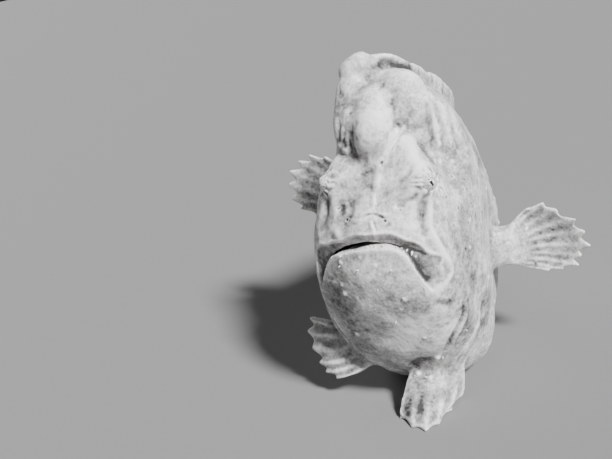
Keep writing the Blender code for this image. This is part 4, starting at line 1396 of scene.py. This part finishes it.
@dataclass
class Skin:
    """One unbroken skin over the head, jaw, trunk, tail, spines, arms, paired fins and dorsal fin."""

    sight: Sight
    form: BodyForm = field(default_factory=BodyForm)
    mouth: Mouth = field(default_factory=Mouth)
    marks: Dict[str, Mark] = field(default_factory=lambda: dict(MARKS))
    voxel: float = 0.00045
    fillet: float = 0.0032
    fillet_rounds: int = 80
    nostrils: Tuple[Tuple[float, float, float], ...] = ((0.047, 0.556, 0.0048), (0.078, 0.575, 0.0038))
    gill: Tuple[float, float, float] = (0.505, 0.235, 0.012)  # depth, height and radius of the pore
    eye_radius: float = 0.0225
    lid_rise: float = 0.0022
    lid_radius: float = 1.10  # in eye radii, as are the next three
    lid_width: float = 0.20
    streak_reach: float = 2.0
    streak_fade: float = 0.8
    streak_rise: float = 0.30  # in millimetres
    streaks: float = 11
    streak_wander: float = 2.5
    lid_stain: float = 0.10
    streak_stain: float = 0.34
    swellings: Tuple[Tuple[float, float], ...] = ((9.0, 0.35), (4.0, 0.16), (1.8, 0.07))  # size, rise in mm
    # Painted highlight on ridges and painted shade in hollows: rounds of smoothing, depth in mm, strength.
    ridge_hollow_rounds: Tuple[Tuple[int, float], ...] = ((12, 0.06), (60, 0.25))  # smoothing, depth in mm
    ridge_hollow_shade: float = 0.20
    flank_rings: Tuple[Pixel, ...] = (
        (452, 176), (463, 189), (471, 203), (458, 208), (447, 197), (468, 222), (477, 188), (455, 225),
        (481, 212),
    )
    ring_radius: float = 0.9  # in millimetres
    warts: int = 260
    wart_sizes: Tuple[float, float] = (0.45, 1.0)  # in millimetres
    wart_rise: float = 0.5  # in sizes
    wart_stain: float = 0.35
    fleck_size: float = 0.8  # in sizes
    fleck_rise: float = -0.15  # in millimetres
    fleck_stain: float = -0.6
    fan_bare: float = 0.5  # how far out along a fin its stain grows
    ray_stain: float = 0.08
    membrane_stain: float = -0.24
    limbs: Dict[str, Limb] = field(
        default_factory=lambda: {
            "second_spine": Limb(
                ((-0.004, 0.150, 0.620), (-0.004, 0.110, 0.686), (-0.004, 0.111, 0.756),
                 (-0.008, 0.172, 0.826)),
                (0.020, 0.045, 0.048, 0.046), (0.020, 0.038, 0.040, 0.034), (0, -1, 0.2), blunt=0.62,
            ),
            "beside the bulb": Limb(
                ((-0.036, 0.120, 0.628), (-0.048, 0.118, 0.706), (-0.052, 0.122, 0.790)),
                (0.026, 0.032, 0.040), (0.026, 0.032, 0.038), (0, -1, 0.2), blunt=0.2,
            ),
            "third_spine": Limb(
                ((-0.030, 0.260, 0.740), (-0.060, 0.225, 0.830), (-0.098, 0.215, 0.888)),
                (0.075, 0.052, 0.042), (0.060, 0.045, 0.034), (0, -1, 0.2),
            ),
            "crown": Limb(
                ((0.016, 0.205, 0.690), (0.008, 0.176, 0.770), (-0.034, 0.194, 0.846)),
                (0.096, 0.110, 0.084), (0.044, 0.042, 0.036), (0, -1, 0.2), blunt=0.2,
            ),
            "right crown": Limb(
                ((-0.030, 0.190, 0.690), (-0.060, 0.164, 0.775), (-0.086, 0.200, 0.866)),
                (0.050, 0.058, 0.042), (0.036, 0.044, 0.040), (0, -1, 0.2), blunt=0.1,
            ),
            "right brow": Limb(
                ((-0.050, 0.132, 0.632), (-0.070, 0.146, 0.722), (-0.094, 0.198, 0.822)),
                (0.038, 0.046, 0.044), (0.036, 0.056, 0.038), (0, -1, 0.2), blunt=0.1,
            ),
            "pectoral_arm_left": Limb(
                ((0.13, 0.40, 0.315), (0.19, 0.42, 0.317), (0.240, 0.432, 0.318)),
                (0.064, 0.058, 0.052), (0.045, 0.036, 0.026), (0, 1, 0), blunt=0.45,
            ),
            "pectoral_arm_right": Limb(
                ((-0.13, 0.40, 0.400), (-0.19, 0.42, 0.408), (-0.235, 0.432, 0.412)),
                (0.064, 0.058, 0.052), (0.045, 0.036, 0.026), (0, 1, 0), blunt=0.45,
            ),
        }
    )
    web: Fan = Fan(
        ((-0.030, 0.240, 0.740), (0, 0.340, 0.735), (0, 0.480, 0.690)),
        ((-0.085, 0.225, 0.880), (-0.020, 0.255, 0.888), (0, 0.330, 0.850), (0, 0.430, 0.812),
         (0, 0.484, 0.790)),
        ((0, 0, 0), (0.012, 0, 0), (0, 0, 0)),
        rays=3, web=(0.050, 0.014), ray=(0.050, 0.016), notch=0.0, rim=0.010, taper=1.2, rows=40, steps=24,
    )
    fins: Dict[str, Fan] = field(default_factory=lambda: {**PECTORAL_FANS, **PELVIC_FANS, **DORSAL_FAN})
    replaced: Tuple[str, ...] = (
        "head", "lower_jaw", "torso", "tail", "second_spine", "third_spine",
        "pectoral_arm_left", "pectoral_arm_right", *PECTORAL_FANS, *PELVIC_FANS, *DORSAL_FAN,
    )

    def build(self, finish: bpy.types.Material) -> bpy.types.Object:
        """Builds and dresses the skin.

        Args:
            finish: Its material.

        Returns:
            The piece.
        """
        body_points, body_faces = self.form.mesh()
        body = mesh_object("body", placed(body_points), body_faces)
        face = tree_of(body)
        cutter = self.mouth.cutter()
        cut = body.modifiers.new("mouth", "BOOLEAN")
        cut.operation = "DIFFERENCE"
        cut.solver = "MANIFOLD"
        cut.object = cutter
        applied(body)
        bpy.data.objects.remove(cutter)
        shapes = [body]
        for name, limb in self.limbs.items():
            points, faces = limb.mesh()
            shapes.append(mesh_object(name, placed(points), faces))
        for fan in (self.web, *self.fins.values()):
            points, faces, _ = fan.mesh()
            shapes.append(mesh_object("fan", placed(points), faces))
        made = self.union(shapes)
        relaxed(made, 3)
        relaxed(made, self.fillet_rounds, self.joints(made, shapes), shrink=True)
        for obj in shapes:
            bpy.data.objects.remove(obj)
        self.carve(made, face)
        made.data.materials.clear()
        made.data.materials.append(finish)
        return made

    def union(self, shapes: Sequence[bpy.types.Object]) -> bpy.types.Object:
        """Makes one closed mesh around several.

        Args:
            shapes: The meshes.

        Returns:
            The mesh around them.
        """
        points, faces, count = [], [], 0
        for one in shapes:
            points.append(points_of(one))
            faces += [tuple(i + count for i in polygon.vertices) for polygon in one.data.polygons]
            count += len(points[-1])
        made = mesh_object("skin", np.vstack(points), faces)
        remesh = made.modifiers.new("one skin", "REMESH")
        remesh.mode = "VOXEL"
        remesh.voxel_size = self.voxel
        remesh.use_smooth_shade = True
        return applied(made)

    def joints(self, skin: bpy.types.Object, shapes: Sequence[bpy.types.Object]) -> Array:
        """Finds where limbs and fins leave the body or one another.

        Args:
            skin: The skin.
            shapes: The shapes that it was made from, the body first.

        Returns:
            At each point 1 in such a crease, fading to 0 beside it.
        """
        points = points_of(skin)
        reach = 3 * self.fillet
        nearest = np.full((2, len(points)), reach)
        around = np.zeros(len(points), bool)
        for shape in shapes[1:]:
            around |= in_box_of(points, points_of(shape), reach)
        for shape in shapes:
            tree = tree_of(shape)
            for i in np.flatnonzero(around & in_box_of(points, points_of(shape), reach)):
                distance = tree.find_nearest(points[i], reach)[3]
                if distance is not None and distance < nearest[1, i]:
                    nearest[1, i] = distance
                    if distance < nearest[0, i]:
                        nearest[:, i] = distance, nearest[0, i]
        return bell(nearest[1] / self.fillet) * (nearest[1] < reach)

    def carve(self, skin: bpy.types.Object, face: BVHTree) -> None:
        """Moves the skin into its lips, ridges, grooves, warts and pores, and stains it, painting shade into
        creases, hollows and pores and highlights onto some ridges.

        Args:
            skin: The skin.
            face: The plain body, without mouth or limbs.
        """
        relief = Relief(skin)
        tree = tree_of(skin)
        self.mouth.shape(relief, face)
        for mark in self.marks.values():
            line = self.sight.on(tree, mark.line)
            relief.draw(line, mark)
            if mark.both and len(line):
                mirrored = placed(measured(line) * (-1, 1, 1))
                relief.draw(np.array([face.find_nearest(point)[0] for point in mirrored]), mark, -1)
        for pixel in self.flank_rings:
            for centre in self.sight.on(tree, [pixel]):
                relief.pore(centre, self.ring_radius * MM, sunk=0.25, stain=-0.35)
        for sign, side in SIDES:
            self.lid(relief, side)
            for x, z, radius in self.nostrils:
                start = placed(np.array([(sign * x, FAR_FRONT, z)]))[0]
                relief.pore(np.array(face.ray_cast(start, (0, 1, 0))[0]), radius * LENGTH)
            depth, height, radius = self.gill
            start = placed(np.array([(sign, depth, height)]))[0]
            opening = np.array(face.ray_cast(start, (-sign, 0, 0))[0])
            relief.pore(opening, radius * LENGTH, sunk=1.1, stain=-1.4)
        self.scatter(relief, tree)
        for seed, (size, rise) in enumerate(self.swellings):
            relief.roughen(size * MM, rise * MM, seed + 1)
        self.stain_fans(relief)
        relief.set()
        relaxed(skin, 1)
        keep_in_box(skin)
        # The stored shade adds painted highlight on ridges and painted shade in hollows to the marks.
        store(skin, "shade", relief.shade + self.painted_ridge_highlight_and_hollow_shade(skin))

    def painted_ridge_highlight_and_hollow_shade(self, skin: bpy.types.Object) -> Array:
        """Paints highlight on ridges and shade in hollows, by how far each stands out or lies back.

        Args:
            skin: The skin.

        Returns:
            At each point, how much painted highlight or painted shade it gets.
        """
        points, normals = points_of(skin), normals_of(skin)
        shade = np.zeros(len(points))
        for rounds, depth in self.ridge_hollow_rounds:
            relaxed(skin, rounds, shrink=True)
            stands_out = ((points - points_of(skin)) * normals).sum(1)
            shade += self.ridge_hollow_shade * np.clip(stands_out / (depth * MM), -1, 1)
            set_points(skin, points)
        return shade

    def lid(self, relief: Relief, side: str) -> None:
        """Draws the skin round an eye into a low lid with pale and dark streaks.

        Args:
            relief: The skin.
            side: Which eye.
        """
        low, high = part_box(f"eye_{side}")
        centre = np.array((low + high) / 2)
        radius = self.eye_radius * LENGTH
        at = relief.near(centre[None], 3 * radius)
        away = relief.points[at] - centre
        distance = np.linalg.norm(away, axis=1)
        lid = bell((distance - self.lid_radius * radius) / (self.lid_width * radius))
        angle = np.arctan2(away[:, 2], away[:, 1])
        turn = self.streaks * angle + self.streak_wander * value_noise(relief.points[at], 2 * MM, 3)
        faded = smooth_step((self.streak_reach * radius - distance) / (self.streak_fade * radius))
        streaks = np.sin(turn) * faded
        rise = self.lid_rise * LENGTH * lid + self.streak_rise * MM * streaks
        relief.moved[at] += relief.normals[at] * rise[:, None]
        relief.shade[at] += self.lid_stain * lid + self.streak_stain * streaks

    def scatter(self, relief: Relief, tree: BVHTree) -> None:
        """Scatters pale warts and, as every third mark, dark flecks over the skin.

        Args:
            relief: The skin.
            tree: Its surface.
        """
        rng = np.random.default_rng(11)
        middle, outside = np.array((0.0, 0.0, 0.07)), 0.3
        for k in range(self.warts):
            way = unit(rng.normal(size=3))
            hit = tree.ray_cast(middle + way * outside, -way)[0]
            size = rng.uniform(*self.wart_sizes)
            if hit is None:
                continue
            wart = Mark((), size, self.wart_rise * size, self.wart_stain)
            fleck = Mark((), self.fleck_size * size, self.fleck_rise, self.fleck_stain)
            relief.draw(np.array(hit)[None], wart if k % 3 else fleck)

    def stain_fans(self, relief: Relief) -> None:
        """Darkens the membranes of the fins between their rays.

        Args:
            relief: The skin.
        """
        for fan in self.fins.values():
            points, _, (place, between) = fan.mesh()
            points = placed(points)
            tree = KDTree(len(points))
            for i, point in enumerate(points):
                tree.insert(point, i)
            tree.balance()
            at = relief.near(points, 0.0)
            found = [tree.find(relief.points[i])[1:] for i in at]
            index = np.array([i for i, _ in found])
            close = np.array([distance for _, distance in found]) < 2 * self.voxel
            stain = self.ray_stain + self.membrane_stain * between[index]
            relief.shade[at] += close * smooth_step(place[index] / self.fan_bare) * stain


@dataclass
class Fins:
    """The thinner fins at the rear: the anal fin and the tail fin."""

    fans: Dict[str, Fan] = field(
        default_factory=lambda: {
            "anal_fin": Fan(
                ((0, 0.660, 0.050), (0, 0.760, 0.090), (0, 0.860, 0.135)),
                ((0, 0.700, -0.010), (0, 0.800, 0.004), (0, 0.900, 0.020), (0, 0.985, 0.070)),
                STRAIGHT, rays=8, web=(0.040, 0.0040), ray=(0.046, 0.0085), notch=0.05, rim=0.002,
                rows=50, uneven=0.02, seed=6,
            ),
            "caudal_fin": Fan(
                ((0, 0.965, 0.140), (0, 0.980, 0.215), (0, 0.965, 0.290)),
                ((0, 1.115, 0.030), (0, 1.205, 0.095), (0, 1.245, 0.215), (0, 1.215, 0.335),
                 (0, 1.130, 0.410)),
                STRAIGHT, rays=9, web=(0.044, 0.0040), ray=(0.052, 0.0095), notch=0.06, rim=0.002,
                rows=70, steps=14, uneven=0.02, seed=7,
            ),
        }
    )
    wrinkle: float = 0.12  # rise and size of the fine wrinkles, in millimetres
    wrinkle_size: float = 1.5
    bare: float = 0.4  # how far out along a fin its stain grows
    ray_stain: float = 0.15
    membrane_stain: float = -0.50
    edge_stain: float = -0.10

    def build(self, finish: bpy.types.Material) -> Dict[str, bpy.types.Object]:
        """Builds and dresses every fin.

        Args:
            finish: Their material.

        Returns:
            The pieces, by the name of the solid that each replaces.
        """
        made = {}
        for name, fan in self.fans.items():
            points, faces, (place, between) = fan.mesh()
            piece = mesh_object(f"{name}_skin", placed(points), faces)
            world = points_of(piece)
            wrinkle = self.wrinkle * MM * value_noise(world, self.wrinkle_size * MM, 21)
            set_points(piece, world + normals_of(piece) * wrinkle[:, None])
            keep_in_box(piece)
            stain = self.ray_stain + self.membrane_stain * between + self.edge_stain * place
            store(piece, "shade", smooth_step(place / self.bare) * stain)
            piece.data.materials.append(finish)
            made[name] = piece
        return made


@dataclass
class Eye:
    """A wet eyeball that looks out of its mound."""

    side: str
    radius: float = 0.0225
    gaze: Point = (0.66, -0.68, 0.30)
    cornea: float = 0.10
    cornea_edge: float = 0.75
    columns: int = 96
    rows: int = 64

    def build(self, finish: bpy.types.Material) -> bpy.types.Object:
        """Builds the eyeball where its solid is, and stores each point's place as seen along the gaze.

        Args:
            finish: Its material.

        Returns:
            The piece.
        """
        low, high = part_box(f"eye_{self.side}")
        sign = 1 if self.side == "left" else -1
        gaze = unit(np.array(self.gaze) * (sign, 1, 1))
        side = unit(np.cross((0, 0, 1), gaze))
        up = np.cross(gaze, side)
        bm = bmesh.new()
        bmesh.ops.create_uvsphere(bm, u_segments=self.columns, v_segments=self.rows, radius=1.0)
        ball = np.array([v.co for v in bm.verts])
        faces = [tuple(v.index for v in f.verts) for f in bm.faces]
        bm.free()
        bulge = 1 + self.cornea * smooth_step((ball[:, 2] - self.cornea_edge) / (1 - self.cornea_edge))
        points = (ball * bulge[:, None] * self.radius * LENGTH) @ np.stack([side, up, gaze])
        made = mesh_object(f"eye_{self.side}_ball", points + np.array((low + high) / 2), faces)
        store(made, "gaze", ball)
        made.data.materials.append(finish)
        return made


@dataclass
class Lure:
    """The thin first spine, laid back along the face, with its small bait."""

    path: Tuple[Tuple[float, float], ...] = (
        (0.017, 0.552), (0.017, 0.600), (0.024, 0.658), (0.044, 0.702), (0.062, 0.738)
    )
    root_radius: float = 0.0030
    tip_radius: float = 0.0022
    bait_radius: float = 0.0040
    bait_at: float = 0.93
    bait_spread: float = 0.05
    lifts: Tuple[float, ...] = (-4.0, -3.0, -2.0, -0.2, 0.3, 0.4)  # how far it lies over the skin, in radii
    end_share: float = 0.03  # the share of its length over which each end rounds off
    stain: float = 0.25
    smoothing: int = 3
    rows: int = 90
    around: int = 20

    def build(self, skin: bpy.types.Object, finish: bpy.types.Material) -> bpy.types.Object:
        """Builds the lure along the face, with both ends sunk in the skin.

        Args:
            skin: The skin that it lies along.
            finish: Its material.

        Returns:
            The piece.
        """
        tree = tree_of(skin)
        t = np.linspace(0, 1, self.rows)
        radius = self.root_radius + (self.tip_radius - self.root_radius) * t
        radius += self.bait_radius * bell((t - self.bait_at) / self.bait_spread)
        radius *= np.sqrt(np.clip(np.minimum(t, 1 - t) / self.end_share, 0.02, 1))
        lift = radius * smooth_values(self.lifts, t)
        centres = from_front(tree, self.path, t)[0] + np.outer(lift * LENGTH, (0, -1, 0))
        for _ in range(self.smoothing):
            centres[1:-1] = (centres[:-2] + centres[1:-1] + centres[2:]) / 3
        along = np.gradient(centres, axis=0)
        across = units(np.cross(along, (0, -1, 0)))
        out = np.cross(across, units(along))
        points, faces = sweep(centres, across, out, radius * LENGTH, radius * LENGTH, self.around)
        made = mesh_object("illicium_lure", points, faces)
        store(made, "shade", np.full(len(points), self.stain))
        made.data.materials.append(finish)
        return made


@dataclass
class SkinTags:
    """Small soft tags on the lips, the chin and the cheeks, thicker at their roots."""

    sight: Sight
    lip: Tuple[Pixel, ...] = (
        (338, 251), (341, 256), (345, 254), (352, 251), (368, 248), (371, 247), (375, 247), (383, 247),
        (396, 248), (402, 248), (407, 250), (412, 252), (416, 256),
    )
    chin: Tuple[Pixel, ...] = (
        (340, 266), (375, 310), (403, 298), (378, 290), (348, 338), (362, 345), (396, 322), (443, 357),
        (313, 205), (311, 222), (415, 376), (427, 377), (391, 270), (358, 270), (424, 288), (466, 330),
    )
    length: float = 1.3  # in millimetres, as is the radius
    radius: float = 0.50
    bend: float = 0.35  # how far a tip leans, in lengths
    sunk: float = 0.5  # how far a root is sunk, in lengths
    root_width: float = 1.15  # in radii, as is the taper
    taper: float = 0.75
    rounding: float = 0.3  # the share of its length over which a tip rounds off
    lip_look: Tuple[float, float] = (1.0, 0.7)  # size and stain
    chin_look: Tuple[float, float] = (0.7, 0.3)
    spread: Tuple[float, float] = (0.7, 1.3)
    rows: int = 7
    around: int = 10

    def build(self, skin: bpy.types.Object, finish: bpy.types.Material) -> bpy.types.Object:
        """Builds every tag as one piece.

        Args:
            skin: The skin that they stand on.
            finish: Their material.

        Returns:
            The piece.
        """
        tree = tree_of(skin)
        rng = np.random.default_rng(5)
        all_points, all_faces, shades, count = [], [], [], 0
        for pixels, (share, shade) in ((self.lip, self.lip_look), (self.chin, self.chin_look)):
            for pixel in pixels:
                for root in self.sight.on(tree, [pixel]):
                    out = np.array(tree.find_nearest(root)[1])
                    size = share * rng.uniform(*self.spread)
                    points, faces = self.tag(root, out, size, rng.normal(size=3) * self.bend)
                    all_points.append(points)
                    all_faces += [tuple(i + count for i in face) for face in faces]
                    shades.append(np.full(len(points), shade))
                    count += len(points)
        made = mesh_object("skin_tags", np.vstack(all_points), all_faces)
        store(made, "shade", np.concatenate(shades))
        made.data.materials.append(finish)
        return made

    def tag(self, root: Array, out: Array, size: float, bend: Array) -> Tuple[Array, List[Tuple[int, ...]]]:
        """Works out one tag.

        Args:
            root: Its place on the skin.
            out: The way out of the skin.
            size: Its share of the full size.
            bend: How its tip leans, in lengths.

        Returns:
            Its points and faces.
        """
        t = np.linspace(0, 1, self.rows)
        centres = root + np.outer(((1 + self.sunk) * t - self.sunk) * size * self.length * MM, out)
        centres += np.outer(t**2 * size * self.length * MM, bend)
        across = unit(np.cross(out, (0.3, 0.2, 0.9)))
        side = np.cross(across, out)
        tip = np.sqrt(np.clip((1 - t) / self.rounding, 0.02, 1))
        radius = self.radius * size * MM * (self.root_width - self.taper * t) * tip
        widths, depths = (np.tile(way, (self.rows, 1)) for way in (across, side))
        return sweep(centres, widths, depths, radius, radius, self.around)


# The studio

@dataclass
class Studio:
    """A plain pale floor, soft light and the camera. Sizes are in metres."""

    sight: Sight
    nearest: float = 0.01
    floor_half: float = 3.0
    floor_drop: float = 0.0002  # how far the floor lies under the fish
    looked_at: Point = (0, 0, 0.06)
    world_strength: float = 0.05

    def camera(self) -> None:
        """Makes the camera."""
        place, right, up, forward = self.sight.axes()
        data = bpy.data.cameras.new("camera")
        data.lens = self.sight.lens
        data.sensor_width = self.sight.sensor
        data.clip_start = self.nearest
        made = linked("camera", data)
        made.matrix_world = Matrix(
            [(*row, place[k]) for k, row in enumerate(zip(right, up, -forward))] + [(0, 0, 0, 1)]
        )
        bpy.context.scene.camera = made

    def floor(self) -> None:
        """Makes the floor."""
        bm = bmesh.new()
        bmesh.ops.create_grid(bm, x_segments=1, y_segments=1, size=self.floor_half)
        mesh = bpy.data.meshes.new("floor")
        bm.to_mesh(mesh)
        bm.free()
        made = linked("floor", mesh)
        mesh.materials.append(PaperFinish().material())
        made.location = (0, 0, -self.floor_drop)

    def lamp(self, name: str, place: Point, power: float, size: float) -> None:
        """Makes a soft square light that looks at the fish.

        Args:
            name: Its name.
            place: Where it stands.
            power: Its power in watts.
            size: How wide it is.
        """
        data = bpy.data.lights.new(name, "AREA")
        data.energy = power
        data.size = size
        made = linked(name, data)
        made.location = place
        way = Vector(self.looked_at) - Vector(place)
        made.rotation_euler = way.to_track_quat("-Z", "Y").to_euler()

    def sun(self, name: str, way: Point, power: float, softness: float) -> None:
        """Makes an even light from far away.

        Args:
            name: Its name.
            way: The direction that it shines in.
            power: Its strength.
            softness: How wide it looks, in degrees.
        """
        data = bpy.data.lights.new(name, "SUN")
        data.energy = power
        data.angle = math.radians(softness)
        linked(name, data).rotation_euler = Vector(way).to_track_quat("-Z", "Y").to_euler()

    def build(self) -> None:
        """Makes the floor, the lights and the camera."""
        self.floor()
        self.sun("key", way=(-0.62, 0.34, -0.71), power=8.8, softness=9)
        self.lamp("low glance", place=(0.50, -0.30, 0.06), power=0.12, size=0.20)
        self.sun("soft fill", way=(0.70, -0.35, -0.45), power=1.1, softness=40)
        world = bpy.data.worlds.new("studio")
        world.use_nodes = True
        background = world.node_tree.nodes["Background"]
        background.inputs["Color"].default_value = (0.5, 0.5, 0.5, 1)
        background.inputs["Strength"].default_value = self.world_strength
        bpy.context.scene.world = world
        self.camera()


def dressed(piece: bpy.types.Object, slot: str, *nodes: str) -> None:
    """Ties a piece to the frame.

    Args:
        piece: The piece.
        slot: The record's material slot that its finish stands for; not used.
        nodes: The solids that it replaces.
    """
    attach(piece, "root")
    if nodes:
        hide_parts(*nodes)
    log.info("%s: %d faces, replaces %s", piece.name, len(piece.data.polygons), ", ".join(nodes) or "nothing")


def main() -> None:
    """Builds the fish and its studio."""
    logging.basicConfig(level=logging.INFO, format="%(name)s: %(message)s")
    sight = Sight()
    skin_finish = SkinFinish("frogfish_skin").material()
    fin_finish = SkinFinish("frogfish_fin", tone=0.52, cloud=0.6, mottle=0.8, softness=0.25).material()
    eye_finish = EyeFinish().material()
    body = Skin(sight)
    skin = body.build(skin_finish)
    dressed(skin, "skin", *body.replaced)
    for name, fin in Fins().build(fin_finish).items():
        dressed(fin, "fin", name)
    for _, side in SIDES:
        dressed(Eye(side).build(eye_finish), "eye", f"eye_{side}")
    dressed(Lure().build(skin, skin_finish), "skin", "illicium")
    dressed(SkinTags(sight).build(skin, skin_finish), "skin")
    Studio(sight).build()


if __name__ == "__main__":
    main()
